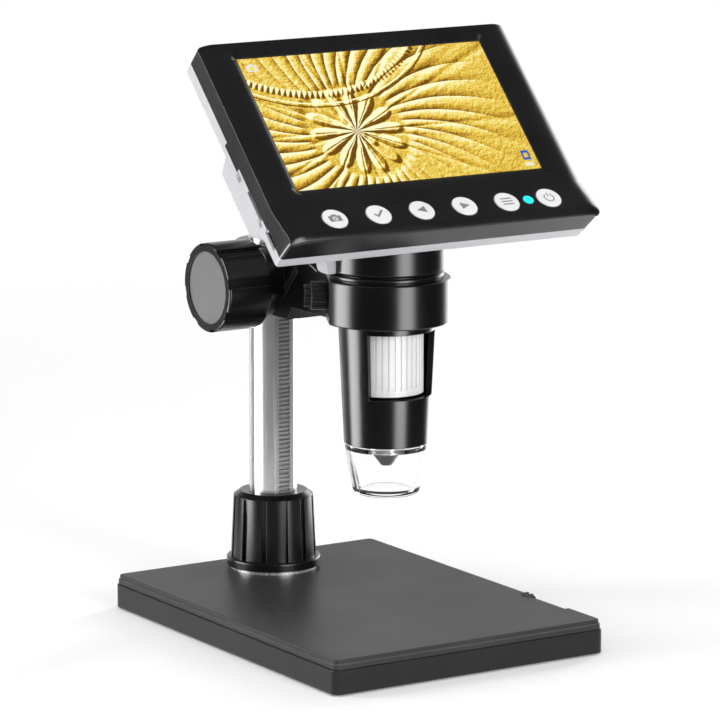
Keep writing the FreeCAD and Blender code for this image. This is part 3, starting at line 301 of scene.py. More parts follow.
metalLooks = {
    "drawnAluminium": dict(metallic=0.6, dark=(0.74, 0.74, 0.75), light=(0.84, 0.84, 0.85), across=2400.0,
                           along=10.0, roughness=(0.20, 0.30), depth=0.15, edgeRadius=0.0002),
    "rackSteel": dict(metallic=0.6, dark=(0.46, 0.46, 0.47), light=(0.62, 0.62, 0.63), across=2600.0,
                      along=2600.0, roughness=(0.28, 0.40), depth=0.2, edgeRadius=0.00012),
    "screwSteel": dict(dark=(0.40, 0.40, 0.41), light=(0.56, 0.56, 0.57), across=900.0, along=2500.0,
                       roughness=(0.25, 0.40), depth=0.2, edgeRadius=0.00015),
    "lensSteel": dict(dark=(0.62, 0.62, 0.62), light=(0.80, 0.795, 0.79), across=40.0, along=4200.0,
                      roughness=(0.30, 0.42), depth=0.3, edgeRadius=0.0002),
    "castIron": dict(dark=(0.10, 0.10, 0.10), light=(0.18, 0.175, 0.17), across=700.0, along=700.0,
                     roughness=(0.5, 0.7), depth=0.4, edgeRadius=0.0004),
    "gearBrass": dict(dark=(0.60, 0.42, 0.14), light=(0.78, 0.56, 0.22), across=1800.0, along=1800.0,
                      roughness=(0.25, 0.35), depth=0.2, edgeRadius=0.00012),
}

finishes = {name: makePlastic(name, look) for name, look in plasticLooks.items()}
finishes.update({name: makeMetal(name, look) for name, look in metalLooks.items()})


# Colour and roughness that vary in slow patches; the mask of the patches comes back.
def addPatches(tree, shader, place, scale, dark, light, roughness):
    patches = placeGroup(tree, mouldGrain, Vector=place, Grain_Scale=scale).outputs["Patches"]
    connect(tree, blendColour(tree, patches, dark, light), shader.inputs["Base Color"])
    connect(tree, remap(tree, patches, 0.0, 1.0, *roughness), shader.inputs["Roughness"])
    return patches


# Moulded clear cap: glass shader, faint uneven haze in its gloss.
def makeClearPlastic():
    material, tree, shader, place = startMaterial(
        "clearPlastic", Transmission_Weight=1.0, IOR=1.25, Specular_IOR_Level=0.5,
    )
    patches = addPatches(tree, shader, place, 900.0, (0.985, 0.985, 0.985), (1.0, 1.0, 1.0), (0.015, 0.05))
    connect(tree, addBump(tree, patches, 0.05, 0.0001), shader.inputs["Normal"])
    return material


def makeLensGlass():
    material, tree, shader, place = startMaterial("lensGlass", Coat_Weight=1.0, Coat_Roughness=0.03)
    addPatches(tree, shader, place, 1200.0, (0.010, 0.008, 0.022), (0.020, 0.014, 0.040), (0.04, 0.08))
    return material


# Green solder mask in slow uneven patches, with traces.
def makeCircuitBoard():
    material, tree, shader, place = startMaterial("circuitBoard", Coat_Weight=0.3)
    cells = addNode(tree, "ShaderNodeTexVoronoi", {"feature": "DISTANCE_TO_EDGE", "distance": "CHEBYCHEV"},
                    Vector=place, Scale=420.0)
    traces = remap(tree, cells.outputs["Distance"], 0.03, 0.06, 1.0, 0.0, True)
    grain = placeGroup(tree, mouldGrain, Vector=place, Grain_Scale=1800.0)
    mask = blendColour(tree, grain.outputs["Patches"], (0.010, 0.085, 0.030), (0.016, 0.120, 0.042))
    connect(tree, blendColour(tree, traces, mask, (0.05, 0.26, 0.09)), shader.inputs["Base Color"])
    connect(tree, remap(tree, traces, 0.0, 1.0, 0.30, 0.42), shader.inputs["Roughness"])
    connect(tree, addBump(tree, traces, 0.3, 0.00005), shader.inputs["Normal"])
    return material


# Lit pilot lamp, uneven in slow patches.
def makeTealLight():
    material, tree, shader, place = startMaterial(
        "tealLight", Roughness=0.25, Coat_Weight=0.6, Emission_Strength=0.55,
    )
    grain = placeGroup(tree, mouldGrain, Vector=place, Grain_Scale=1500.0)
    colour = blendColour(tree, grain.outputs["Patches"], (0.0, 0.62, 0.55), (0.03, 0.78, 0.70))
    connect(tree, colour, shader.inputs["Base Color"])
    connect(tree, colour, shader.inputs["Emission Color"])
    return material


# Lamps around the lens: yellow chips in white cases.
def makeLampWhite():
    material, tree, shader, place = startMaterial("lampWhite", Roughness=0.4, Emission_Strength=0.35)
    cells = addNode(tree, "ShaderNodeTexVoronoi", Vector=place, Scale=900.0)
    colour = ramp(tree, cells.outputs["Distance"], [(0.1, (1.0, 0.93, 0.60)), (0.6, (0.95, 0.95, 0.92))])
    connect(tree, colour, shader.inputs["Base Color"])
    connect(tree, colour, shader.inputs["Emission Color"])
    return material


# Display glass around the lit picture.
def makeDarkGlass():
    material, tree, shader, place = startMaterial("darkGlass", Specular_IOR_Level=0.3)
    addPatches(tree, shader, place, 1500.0, (0.004, 0.004, 0.005), (0.008, 0.008, 0.009), (0.10, 0.16))
    return material


makers = (makeClearPlastic, makeLensGlass, makeCircuitBoard, makeTealLight, makeLampWhite, makeDarkGlass)
finishes.update({made.name: made for made in [maker() for maker in makers]})


# Picture on the display: a golden relief of a rosette, rays, a line of beads and a ledge, seen close up;
# lengths are in the picture's height

picture = {
    "width": 95.04 * mm,
    "height": 53.86 * mm,
    "rosette": (0.60, 0.40),
    "outerRing": dict(count=14, radius=0.34, depth=0.42),
    "innerRing": dict(count=9, radius=0.17, depth=0.4, turn=0.7),
    "button": 0.075,
    "rays": dict(twist=9.0, count=21.0, sharp=0.7, start=(0.33, 0.40), end=(1.25, 0.8)),
    "warp": 0.03,
    "rimCentre": (0.50, 1.72),
    "rimRadius": 1.45,
    "beads": dict(inward=0.42, half=0.035, pitch=0.052),
    "ledge": dict(inward=0.34, half=0.018, flat=0.006),
    "lightStep": 0.0045,
}
reliefShares = {"rays": 0.55, "inner": 0.7, "button": 0.5, "beads": 0.8, "ledge": 0.45, "rough": 0.42}
pictureLight = {"level": 0.56, "across": 0.018, "up": -0.022, "height": 0.08}


# Distance and angle of the point (x, y) about a centre.
def polarPlace(tree, x, y, centre):
    dx = calc(tree, "SUBTRACT", x, centre[0])
    dy = calc(tree, "SUBTRACT", y, centre[1])
    square = calc(tree, "MULTIPLY_ADD", dx, dx, calc(tree, "MULTIPLY", dy, dy))
    return calc(tree, "SQRT", square), calc(tree, "ARCTAN2", dy, dx)


# Powers that shape a petal's outline, crown and vein, its soft edge and the height of its vein
petal = {"outline": 0.6, "crown": 1.4, "vein": 60.0, "soft": 0.05, "veinHeight": -0.22}


# Rounded petals about a centre: highest beside a petal's spine, falling to 0 at its outline.
def petalRing(tree, distance, angle, count, radius, depth, turn=0.0):
    phase = calc(tree, "MULTIPLY_ADD", angle, count / 2.0, turn)
    lobe = calc(tree, "ABSOLUTE", calc(tree, "COSINE", phase))
    outline = calc(tree, "POWER", lobe, petal["outline"])
    edge = calc(tree, "MULTIPLY_ADD", outline, depth * radius, radius * (1.0 - depth))
    inside = smoothStep(tree, calc(tree, "SUBTRACT", edge, distance), 0.0, petal["soft"])
    crown = calc(tree, "MULTIPLY", calc(tree, "POWER", lobe, petal["crown"]), inside)
    vein = calc(tree, "POWER", lobe, petal["vein"])
    return calc(tree, "MULTIPLY_ADD", vein, petal["veinHeight"], crown)


# A line that keeps inside the big rim by a given length: 1 along it, 0 away from it.
def rimLine(tree, offRim, inward, half, flat=0.0):
    away = calc(tree, "ABSOLUTE", calc(tree, "SUBTRACT", offRim, -inward))
    return smoothStep(tree, away, half, flat)


# Height of the golden relief at a place on the display; U runs to 1.765, V to 1.
def makeReliefHeight():
    tree, given, made = newGroup(
        "reliefHeight", [("U", floatSocket, 0.0), ("V", floatSocket, 0.0)], [("Height", floatSocket)],
    )
    u = given.outputs["U"]
    v = given.outputs["V"]
    place = addNode(tree, "ShaderNodeCombineXYZ", X=u, Y=v).outputs[0]
    warp = addNode(tree, "ShaderNodeTexNoise", Vector=place, Scale=5.0, Detail=2.0)
    aside = calc(tree, "SUBTRACT", warp.outputs["Fac"], 0.5)
    warped = calc(tree, "MULTIPLY_ADD", aside, picture["warp"], u)
    far, turn = polarPlace(tree, warped, v, picture["rosette"])
    outer = petalRing(tree, far, turn, **picture["outerRing"])
    inner = petalRing(tree, far, turn, **picture["innerRing"])
    button = smoothStep(tree, calc(tree, "SUBTRACT", picture["button"], far), 0.0, 0.03)
    ray = picture["rays"]
    rayPhase = calc(tree, "MULTIPLY_ADD", far, ray["twist"], calc(tree, "MULTIPLY", turn, ray["count"]))
    rays = calc(tree, "POWER", calc(tree, "ABSOLUTE", calc(tree, "SINE", rayPhase)), ray["sharp"])
    rayStart = smoothStep(tree, far, *ray["start"])
    rayRoom = calc(tree, "MULTIPLY", rayStart, smoothStep(tree, far, *ray["end"]))
    rimFar, rimTurn = polarPlace(tree, u, v, picture["rimCentre"])
    offRim = calc(tree, "SUBTRACT", rimFar, picture["rimRadius"])
    bead = picture["beads"]
    beadPhase = calc(tree, "MULTIPLY", rimTurn, picture["rimRadius"] * math.pi / bead["pitch"])
    beadRound = calc(tree, "ABSOLUTE", calc(tree, "SINE", beadPhase))
    forms = {
        "rays": calc(tree, "MULTIPLY", rays, rayRoom),
        "inner": inner,
        "button": button,
        "beads": calc(tree, "MULTIPLY", beadRound, rimLine(tree, offRim, bead["inward"], bead["half"])),
        "ledge": rimLine(tree, offRim, **picture["ledge"]),
        "rough": addNode(tree, "ShaderNodeTexNoise", Vector=place, Scale=26.0, Detail=6.0,
                         Roughness=0.65).outputs["Fac"],
    }
    height = outer
    for name, share in reliefShares.items():
        height = calc(tree, "MULTIPLY_ADD", forms[name], share, height)
    connect(tree, height, made.inputs["Height"])
    return tree


def makeLitPicture():
    material, tree, shader = startMaterial(
        "litPicture", Specular_IOR_Level=0.15, Emission_Strength=1.0, Roughness=0.25,
    )[:3]
    split = addNode(tree, "ShaderNodeSeparateXYZ", Vector=addNode(tree, "ShaderNodeUVMap").outputs[0])
    aspect = picture["width"] / picture["height"]
    u = calc(tree, "MULTIPLY", split.outputs["X"], aspect)
    v = split.outputs["Y"]
    relief = makeReliefHeight()
    step = picture["lightStep"]
    here = placeGroup(tree, relief, U=u, V=v).outputs[0]
    aside = placeGroup(tree, relief, U=calc(tree, "ADD", u, step), V=v).outputs[0]
    above = placeGroup(tree, relief, U=u, V=calc(tree, "ADD", v, step)).outputs[0]
    slopeU = calc(tree, "DIVIDE", calc(tree, "SUBTRACT", aside, here), step)
    slopeV = calc(tree, "DIVIDE", calc(tree, "SUBTRACT", above, here), step)
    lit = calc(tree, "MULTIPLY_ADD", slopeU, pictureLight["across"], pictureLight["level"])
    lit = calc(tree, "MULTIPLY_ADD", slopeV, pictureLight["up"], lit)
    lit = calc(tree, "MULTIPLY_ADD", here, pictureLight["height"], lit)
    gold = ramp(tree, lit, [
        (0.10, (0.16, 0.070, 0.006)),
        (0.34, (0.46, 0.245, 0.020)),
        (0.55, (0.76, 0.50, 0.055)),
        (0.74, (0.92, 0.74, 0.17)),
        (0.95, (1.00, 0.96, 0.62)),
    ])
    connect(tree, gold, shader.inputs["Emission Color"])
    dim = blendColour(tree, 0.97, gold, (0.0, 0.0, 0.0))
    connect(tree, dim, shader.inputs["Base Color"])
    return material


finishes["litPicture"] = makeLitPicture()


# Part of the display's picture: an even colour with the fine rows of the panel.
def makeLitIcon(name, colour, bright):
    material, tree, shader, place = startMaterial(
        name, Specular_IOR_Level=0.15, Roughness=0.25, Emission_Strength=bright,
        Base_Color=(0.0, 0.0, 0.0, 1.0),
    )
    rows = addNode(tree, "ShaderNodeTexWave", Vector=place, Scale=2200.0)
    tone = blendColour(tree, calc(tree, "MULTIPLY", rows.outputs["Fac"], 0.12), colour, (0.0, 0.0, 0.0))
    connect(tree, tone, shader.inputs["Emission Color"])
    return material


finishes["iconPale"] = makeLitIcon("iconPale", (0.95, 0.92, 0.72), 0.95)
finishes["iconBlue"] = makeLitIcon("iconBlue", (0.03, 0.13, 0.55), 1.0)
print("materials made:", len(finishes))


# Finish of each carried-over node

nodeFinish = {
    "satinBlack": ["carriage", "arm", "column_nut", "column_cap", "thumb_screw", "barrel", "bead_ring",
                   "neck", "knob_left", "knob_right", "wheel_seat", "key_switches"],
    "glossBlack": ["base_tray"],
    "plateBlack": ["base_plate"],
    "screenFace": ["front_frame"],
    "shellWhite": ["rear_shell"],
    "keyWhite": ["key_photo", "key_confirm", "key_left", "key_right", "key_menu", "key_power"],
    "wheelWhite": ["focus_wheel"],
    "discGrey": ["knob_discs"],
    "footRubber": ["rubber_feet"],
    "cellCover": ["battery"],
    "drawnAluminium": ["column", "column_socket"],
    "rackSteel": ["gear_rack"],
    "screwSteel": ["base_screws", "column_bolt", "rear_screws", "display_frame", "usb_socket",
                   "card_socket"],
    "lensSteel": ["lens_cell"],
    "castIron": ["base_ballast"],
    "gearBrass": ["pinion"],
    "clearPlastic": ["nose_cap"],
    "circuitBoard": ["light_board", "sensor_board", "main_board", "key_board"],
    "tealLight": ["indicator_light"],
    "lampWhite": ["lamps"],
    "darkGlass": ["display_panel"],
}

for finish, names in nodeFinish.items():
    for name in names:
        nodes[name].data.materials.clear()
        nodes[name].data.materials.append(finishes[finish])
print("nodes finished:", sum(len(names) for names in nodeFinish.values()))


# The head's own frame: x to the right, y up the screen, z out of it; the chin's has its start at the bend

head = {"y": -22.12, "z": 179.29, "tilt": 45.57, "face": 1.1, "bend": -33.6, "chinTurn": 13.0}


# A place in millimetres, then a turn about X in degrees.
def placeTurned(x, y, z, turn=0.0):
    return Matrix.Translation((x * mm, y * mm, z * mm)) @ Matrix.Rotation(math.radians(turn), 4, "X")


headPlace = placeTurned(0, head["y"], head["z"], head["tilt"])
chinPlace = headPlace @ placeTurned(0, head["bend"], head["face"], -head["chinTurn"])


# A new visible piece that rides on a body of the frame.
def addPiece(name, mesh, finish, body):
    piece = bpy.data.objects.new(name, mesh)
    bpy.context.scene.collection.objects.link(piece)
    piece.data.materials.append(finishes[finish])
    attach(piece, body)
    return piece


# A thin raised print, in millimetres: closed outlines filled flat (inner loops are holes) and thickened.
def flatShape(loops, thick, place):
    curve = bpy.data.curves.new("outline", "CURVE")
    curve.dimensions = "2D"
    curve.fill_mode = "BOTH"
    curve.extrude = thick * mm / 2
    for loop in loops:
        spline = curve.splines.new("POLY")
        spline.points.add(len(loop) - 1)
        for point, (x, y) in zip(spline.points, loop):
            point.co = (x * mm, y * mm, 0, 1)
        spline.use_cyclic_u = True
    holder = bpy.data.objects.new("outline", curve)
    mesh = bpy.data.meshes.new_from_object(holder)
    mesh.transform(place @ Matrix.Translation((0, 0, thick * mm / 2)))
    bpy.data.objects.remove(holder)
    bpy.data.curves.remove(curve)
    return mesh


# Points along an arc, angles in degrees.
def arcPoints(centre, radius, start, end, count):
    points = []
    for index in range(count):
        angle = math.radians(start + (end - start) * index / (count - 1))
        points.append((centre[0] + radius * math.cos(angle), centre[1] + radius * math.sin(angle)))
    return points


roundPoints = 28
cornerPoints = 5


def circle(centre, radius):
    return arcPoints(centre, radius, 0, 360 * (roundPoints - 1) / roundPoints, roundPoints)


def rectangle(left, low, right, high, corner=0.0):
    if not corner:
        return [(left, low), (right, low), (right, high), (left, high)]
    points = []
    for x, y, start in ((right - corner, high - corner, 0), (left + corner, high - corner, 90),
                        (left + corner, low + corner, 180), (right - corner, low + corner, 270)):
        points.extend(arcPoints((x, y), corner, start, start + 90, cornerPoints))
    return points


# Outline of an arc-shaped stroke.
def band(centre, radius, width, start, end):
    outer = arcPoints(centre, radius + width / 2, start, end, roundPoints)
    inner = arcPoints(centre, radius - width / 2, end, start, roundPoints)
    return outer + inner


# Front frame as it is seen: the chin's sides and low edge roll down like the sides of the face above.
# In millimetres of the head's frame; lowCuts are the first and last cut along the low edge, in shares of
# its radius above it

roll = {
    "half": 54.2,
    "radius": 10.57,
    "width": 6.2,
    "low": -48.6,
    "lowRadius": 2.2,
    "lowCuts": (1.25, 0.01),
    "steps": 8,
    "sharpFrom": 28.0,
}
joinGap = 0.002
cutGap = 0.001
shortEdge = 0.004
belowBend = 0.01


# Highest place of the rolled chin.
def chinLimit(x, y):
    turn = math.radians(head["chinTurn"])
    small = roll["lowRadius"]
    centreY = roll["low"] + small
    top = head["face"] + (head["bend"] - y) * math.tan(turn)
    if y < centreY + small * math.sin(turn):
        centreZ = head["face"] + (head["bend"] - centreY) * math.tan(turn) - small / math.cos(turn)
        beside = min(small, abs(y - centreY))
        top = min(top, centreZ + math.sqrt(small ** 2 - beside ** 2))
    over = max(0.0, abs(x) - roll["half"])
    return top - roll["radius"] + math.sqrt(roll["radius"] ** 2 - over ** 2)


# Planes across the chin, so that its flat faces have points enough to follow the rolls.
def chinCuts():
    first, last = roll["lowCuts"]
    cuts = []
    for step in range(roll["steps"]):
        share = math.sin(step / roll["steps"] * math.pi / 2)
        x = roll["half"] + roll["width"] * share
        y = roll["low"] + roll["lowRadius"] * (first - share * (first - last))
        cuts += [((x, 0, 0), (1, 0, 0)), ((-x, 0, 0), (1, 0, 0)), ((0, y, 0), (0, 1, 0))]
    return cuts + [((0, head["bend"], 0), (0, 1, 0))]


def makeFaceFrame():
    mesh = nodes["front_frame"].data.copy()
    if "custom_normal" in mesh.attributes:
        mesh.attributes.remove(mesh.attributes["custom_normal"])
    mesh.materials.clear()
    mesh.transform(headPlace.inverted())
    work = bmesh.new()
    work.from_mesh(mesh)
    bmesh.ops.remove_doubles(work, verts=work.verts, dist=joinGap * mm)
    for place, normal in chinCuts():
        bmesh.ops.bisect_plane(
            work, geom=work.verts[:] + work.edges[:] + work.faces[:], dist=cutGap * mm,
            plane_co=[value * mm for value in place], plane_no=normal,
        )
    for vert in work.verts:
        x, y, z = [value / mm for value in vert.co]
        if y < head["bend"] + belowBend:
            vert.co.z = min(z, chinLimit(x, y)) * mm
    bmesh.ops.dissolve_degenerate(work, edges=work.edges, dist=shortEdge * mm)
    work.to_mesh(mesh)
    work.free()
    mesh.transform(headPlace)
    mesh.shade_smooth()
    mesh.set_sharp_from_angle(angle=math.radians(roll["sharpFrom"]))
    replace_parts(addPiece("face_frame", mesh, "screenFace", "head"), "front_frame")


makeFaceFrame()
print("face frame made")


# Raised prints on the keys, in millimetres about each key's centre

keys = {"first": -40.8, "pitch": 16.6, "down": 7.6, "rise": 0.35, "print": 0.04}
keyPrints = {
    "photo": [
        rectangle(-2.3, -1.5, 2.3, 1.15, 0.35),
        circle((0, -0.2), 0.95),
        circle((0, -0.2), 0.5),
        rectangle(-0.95, 1.15, 0.95, 1.75),
    ],
    "confirm": [[(-2.0, -0.1), (-0.6, -1.6), (2.2, 1.4), (1.6, 1.9), (-0.6, -0.5), (-1.45, 0.4)]],
    "left": [[(-2.0, 0.0), (1.4, -1.55), (1.4, 1.55)]],
    "right": [[(2.0, 0.0), (-1.4, 1.55), (-1.4, -1.55)]],
    "menu": [rectangle(-2.1, low, 2.1, low + 0.5) for low in (-1.6, -0.25, 1.1)],
    "power": [band((0, -0.15), 1.75, 0.42, 120, 420), rectangle(-0.22, 0.35, 0.22, 2.2)],
}


def makeKeyPrints():
    for index, (name, loops) in enumerate(keyPrints.items()):
        x = keys["first"] + keys["pitch"] * index
        place = chinPlace @ placeTurned(x, -keys["down"], keys["rise"])
        addPiece("key_print_" + name, flatShape(loops, keys["print"], place), "iconGrey", "key_" + name)


makeKeyPrints()
print("key prints made")


# Lit picture on the display, a thin sheet on the panel's glass, in millimetres

display = {"glass": -0.1, "thick": 0.03, "sign": 0.03, "columns": 32, "rows": 18}


def makeLitSheet():
    mesh = bpy.data.meshes.new("lit_picture")
    work = bmesh.new()
    bmesh.ops.create_grid(work, x_segments=display["columns"], y_segments=display["rows"], size=1.0)
    layer = work.loops.layers.uv.new("UVMap")
    for face in work.faces:
        for loop in face.loops:
            loop[layer].uv = ((loop.vert.co.x + 1) / 2, (loop.vert.co.y + 1) / 2)
    for vert in work.verts:
        vert.co.x *= picture["width"] / 2
        vert.co.y *= picture["height"] / 2
        vert.co.z = display["thick"] * mm
    rim = bmesh.ops.extrude_edge_only(work, edges=[e for e in work.edges if e.is_boundary])
    low = [item for item in rim["geom"] if isinstance(item, bmesh.types.BMVert)]
    for vert in low:
        vert.co.z = 0.0
    bmesh.ops.contextual_create(work, geom=[e for e in work.edges if e.is_boundary])
    bmesh.ops.recalc_face_normals(work, faces=work.faces)
    work.to_mesh(mesh)
    work.free()
    mesh.transform(headPlace @ placeTurned(0, 0, display["glass"]))
    addPiece("lit_picture", mesh, "litPicture", "head")


makeLitSheet()

# Small lit signs on the picture, in millimetres about the screen's centre
signs = {
    "sign_camera": ("iconPale", (-43.4, 22.9), [
        rectangle(-2.1, -1.4, 2.1, 1.2, 0.4), circle((0, -0.1), 0.85), rectangle(-0.9, 1.2, 0.9, 1.75)]),
    "sign_store": ("iconBlue", (43.9, -21.1), [
        rectangle(-1.5, -1.9, 1.5, 1.9, 0.3), rectangle(-0.8, -1.0, 0.9, 0.9, 0.2)]),
    "sign_charge": ("iconPale", (43.9, -24.8), [
        rectangle(-1.7, -0.8, 1.3, 0.8, 0.2), rectangle(1.35, -0.35, 1.8, 0.35)]),
}


def makeSigns():
    for name, (finish, (x, y), loops) in signs.items():
        place = headPlace @ placeTurned(x, y, display["glass"] + display["thick"])
        addPiece(name, flatShape(loops, display["sign"], place), finish, "head")


makeSigns()
print("display lit")


# Dark printed signs on the light rim, beside the sockets on the head's left side; each has its place
# along the rim and its outlines

sidePrints = {
    "card": (-13.0, [rectangle(-1.1, -1.5, 1.1, 1.5, 0.3), rectangle(-0.6, 0.4, 0.6, 1.0)]),
    "plug": (-31.6, [rectangle(-0.9, -1.3, 0.9, 0.5, 0.2), rectangle(-0.5, 0.7, -0.2, 1.5),
                     rectangle(0.2, 0.7, 0.5, 1.5)]),
}
sideWall = {"half": 59.6, "taper": 0.4, "depth": 4.7, "high": -7.4, "down": 2.3, "print": 0.03}


def makeSidePrints():
    lean = math.atan2(sideWall["taper"], sideWall["depth"])
    turn = Matrix.Rotation(-math.pi / 2 - lean, 4, "Y")
    x = -(sideWall["half"] - sideWall["taper"] * sideWall["down"] / sideWall["depth"])
    z = sideWall["high"] - sideWall["down"]
    for name, (y, loops) in sidePrints.items():
        place = headPlace @ placeTurned(x, y, z) @ turn
        addPiece("side_print_" + name, flatShape(loops, sideWall["print"], place), "iconGrey", "head")


makeSidePrints()


# Front element of the lens, seen at the cone's tip and through the clear cap; "crown" is the share of a
# quarter turn that the dome goes before its flat middle

lens = {"y": -20.0, "tip": 61.2, "inside": 0.55, "radius": 1.15, "sag": 0.5, "crown": 0.98, "steps": 6,
        "sides": 32}


def makeLensFront():
    work = bmesh.new()
    rings = []
    for step in range(lens["steps"] + 1):
        quarter = step / lens["steps"] * math.pi / 2
        radius = lens["radius"] * math.cos(quarter * lens["crown"])
        z = lens["tip"] + lens["inside"] - lens["sag"] * math.sin(quarter)
        ring = []
        for side in range(lens["sides"]):
            angle = 2 * math.pi * side / lens["sides"]
            point = (radius * math.cos(angle), lens["y"] + radius * math.sin(angle), z)
            ring.append(work.verts.new([value * mm for value in point]))
        rings.append(ring)
    for lower, upper in zip(rings, rings[1:]):
        for side in range(lens["sides"]):
            after = (side + 1) % lens["sides"]
            work.faces.new((lower[side], lower[after], upper[after], upper[side]))
    work.faces.new(rings[0])
    work.faces.new(rings[-1])
    bmesh.ops.recalc_face_normals(work, faces=work.faces)
    mesh = bpy.data.meshes.new("lens_front")
    work.to_mesh(mesh)
    work.free()
    mesh.shade_smooth()
    addPiece("lens_front", mesh, "lensGlass", "lens")


makeLensFront()
print("small pieces made")


# Studio: pale floor, white surround, soft panels of light. Reaches are metres from the middle of the
# floor; gloss mirrors a level of its own, from the floor beside the object and from the surround

studio = {
    "floorSize": 8.0,
    "floorCells": 8,
    "floorShade": (0.84, 0.84, 0.85),
    "floorTone": (0.86, 0.86, 0.87),
    "floorLift": 0.16,
    "nearReach": (0.20, 0.75),
    "besideReach": (0.15, 0.24),
    "besideLevel": 0.9,
    "surroundDim": 0.42,
    "surroundTop": 0.14,
    "topRise": (0.25, 0.60),
    "aim": (0.0, 0.0, 0.11),
}

# Mirrored level by azimuth in degrees, 0 towards the user and 90 to the right: dim in front and white
# behind, from one cosine of the angle off the back to another, and soft wedges of light with the half width
# and level of each; a wedge's level falls off between two shares of its half width
back = {"azimuth": 147.6, "cosines": (0.25, 0.95), "levels": (0.03, 0.95)}
wedges = {
    "left": dict(azimuth=-118.0, half=15.0, level=13.0),
    "front": dict(azimuth=3.0, half=12.0, level=10.0),
    "rear": dict(azimuth=112.0, half=15.0, level=4.2),
}
wedgeFall = (1.5, 0.4)


# Cosine between a flat direction and an azimuth.
def azimuthShare(tree, direction, azimuth):
    turn = math.radians(azimuth)
    return calcVector(tree, "DOT_PRODUCT", direction, (math.sin(turn), -math.cos(turn), 0.0))


# Mirrored level along a direction or at a place on the floor.
def makeStudioMirror():
    tree, given, made = newGroup("studioMirror", [("Vector", vectorSocket, None)], [("Level", floatSocket)])
    flat = calcVector(tree, "MULTIPLY", given.outputs["Vector"], (1.0, 1.0, 0.0))
    direction = calcVector(tree, "NORMALIZE", flat)
    behind = azimuthShare(tree, direction, back["azimuth"])
    level = remap(tree, behind, *back["cosines"], *back["levels"], True)
    for wedge in wedges.values():
        share = azimuthShare(tree, direction, wedge["azimuth"])
        low, high = [math.cos(math.radians(wedge["half"] * fall)) for fall in wedgeFall]
        level = calc(tree, "ADD", level, remap(tree, share, low, high, 0.0, wedge["level"], True))
    connect(tree, level, made.inputs["Level"])
    return tree


studioMirror = makeStudioMirror()


# Seen directly or through the clear cap.
def seenRays(tree, path):
    return calc(tree, "MAXIMUM", path.outputs["Is Camera Ray"], path.outputs["Is Transmission Ray"])


def joinShaders(tree, kind, *values):
    node = tree.nodes.new(kind)
    for value, socket in zip(values, node.inputs):
        connect(tree, value, socket)
    return node.outputs[0]


# Pale with a white far part to the eye, the mirrored level to gloss, plain to diffuse light.
def makeFloor():
    cells = studio["floorCells"]
    bpy.ops.mesh.primitive_grid_add(x_subdivisions=cells, y_subdivisions=cells, size=studio["floorSize"])
    floor = bpy.context.object
    floor.name = "floor"
    material, tree, shader, place = startMaterial("paleFloor", Specular_IOR_Level=0.1, Roughness=0.6)
    speck = addNode(tree, "ShaderNodeTexNoise", Vector=place, Scale=60.0, Detail=3.0)
    tone = remap(tree, speck.outputs["Fac"], 0.3, 0.7, 0.98, 1.0)
    colour = blendColour(tree, tone, studio["floorShade"], studio["floorTone"])
    connect(tree, colour, shader.inputs["Base Color"])
    away = calcVector(tree, "LENGTH", place)
    far = smoothStep(tree, away, *studio["nearReach"])
    beside = smoothStep(tree, away, *studio["besideReach"])
    farLevel = placeGroup(tree, studioMirror, Vector=place).outputs[0]
    mirrored = remap(tree, beside, 0.0, 1.0, studio["besideLevel"], farLevel)
    mirror, white, lift = [
        addNode(tree, "ShaderNodeEmission", Strength=strength).outputs[0]
        for strength in (mirrored, 1.0, studio["floorLift"])
    ]
    plain = shader.outputs[0]
    path = tree.nodes.new("ShaderNodeLightPath")
    near = joinShaders(tree, "ShaderNodeAddShader", plain, lift)
    direct = joinShaders(tree, "ShaderNodeMixShader", far, near, white)
    indirect = joinShaders(tree, "ShaderNodeMixShader", path.outputs["Is Glossy Ray"], plain, mirror)
    surface = joinShaders(tree, "ShaderNodeMixShader", seenRays(tree, path), indirect, direct)
    connect(tree, surface, tree.nodes["Material Output"].inputs["Surface"])
    floor.data.materials.append(material)


# White to the eye, the mirrored level to gloss, dim to diffuse light.
def makeSurround():
    world = bpy.data.worlds.new("surround")
    bpy.context.scene.world = world
    world.use_nodes = True
    tree = world.node_tree
    path = tree.nodes.new("ShaderNodeLightPath")
    direction = tree.nodes.new("ShaderNodeTexCoord").outputs["Generated"]
    toward = addNode(tree, "ShaderNodeSeparateXYZ", Vector=direction)
    level = placeGroup(tree, studioMirror, Vector=direction).outputs[0]
    upward = smoothStep(tree, toward.outputs["Z"], *studio["topRise"])
    mirrored = remap(tree, upward, 0.0, 1.0, level, studio["surroundTop"])
    unseen = blendColour(tree, path.outputs["Is Glossy Ray"], (studio["surroundDim"],) * 3, mirrored)
    colour = blendColour(tree, seenRays(tree, path), unseen, (1.0, 1.0, 1.0))
    connect(tree, colour, tree.nodes["Background"].inputs["Color"])


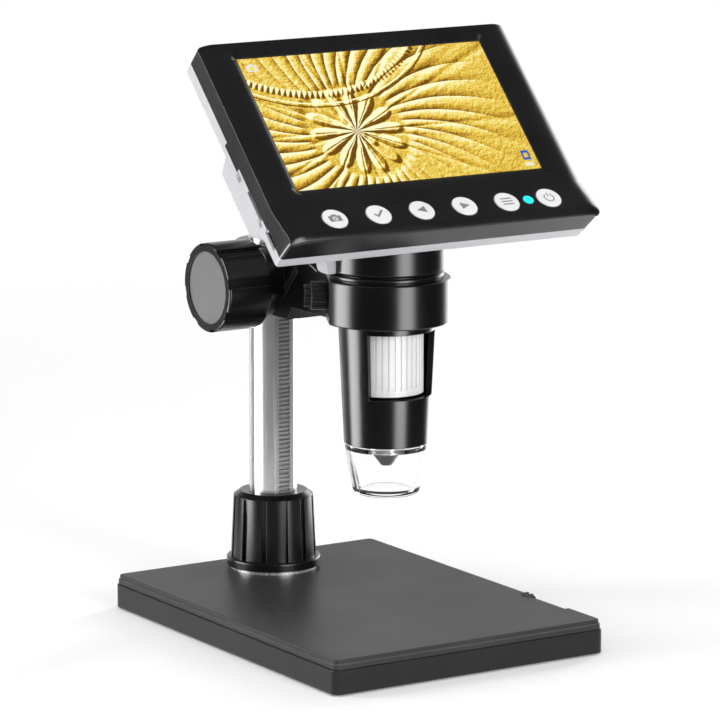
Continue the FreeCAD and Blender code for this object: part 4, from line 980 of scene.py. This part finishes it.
# Azimuth and rise give where a panel stands; sizes and distances in metres
panels = {
    "leftStrip": dict(azimuth=-120.0, rise=12.0, away=0.95, size=(0.20, 0.85), level=9.0),
    "frontStrip": dict(azimuth=3.0, rise=8.0, away=1.10, size=(0.17, 0.80), level=17.0),
    "rearStrip": dict(azimuth=112.0, rise=10.0, away=0.95, size=(0.14, 0.80), level=14.0),
    "overhead": dict(azimuth=-60.0, rise=76.0, away=1.10, size=(0.90, 0.70), level=1.9),
    "fill": dict(azimuth=-35.0, rise=30.0, away=1.60, size=(0.9, 0.9), level=0.9),
}


def makePanels():
    aim = Vector(studio["aim"])
    for name, panel in panels.items():
        turn = math.radians(panel["azimuth"])
        rise = math.radians(panel["rise"])
        away = Vector((math.sin(turn) * math.cos(rise), -math.cos(turn) * math.cos(rise), math.sin(rise)))
        width, height = panel["size"]
        lamp = bpy.data.lights.new(name, "AREA")
        lamp.shape = "RECTANGLE"
        lamp.size = width
        lamp.size_y = height
        lamp.energy = panel["level"] * math.pi * width * height
        holder = bpy.data.objects.new(name, lamp)
        bpy.context.scene.collection.objects.link(holder)
        holder.location = aim + away * panel["away"]
        holder.rotation_euler = (-away).to_track_quat("-Z", "Y").to_euler()
        holder.visible_camera = False
        holder.visible_glossy = False  # gloss mirrors the wedges instead


makeFloor()
makeSurround()
makePanels()

view = bpy.context.scene.view_settings
view.view_transform = "Standard"


# Camera at the photograph's place

eye = {
    "place": (-0.81172, -1.28442, 0.38224),
    "azimuth": -32.362,
    "down": 10.761,
    "lens": 229.97,
    "sensor": 36.0,
    "clip": (0.05, 30.0),
}


def makeCamera():
    camera = bpy.data.cameras.new("camera")
    camera.lens = eye["lens"]
    camera.sensor_width = eye["sensor"]
    camera.clip_start, camera.clip_end = eye["clip"]
    holder = bpy.data.objects.new("camera", camera)
    bpy.context.scene.collection.objects.link(holder)
    holder.location = eye["place"]
    holder.rotation_euler = (math.radians(90.0 - eye["down"]), 0.0, math.radians(eye["azimuth"]))
    bpy.context.scene.camera = holder


makeCamera()
print("studio and camera ready")
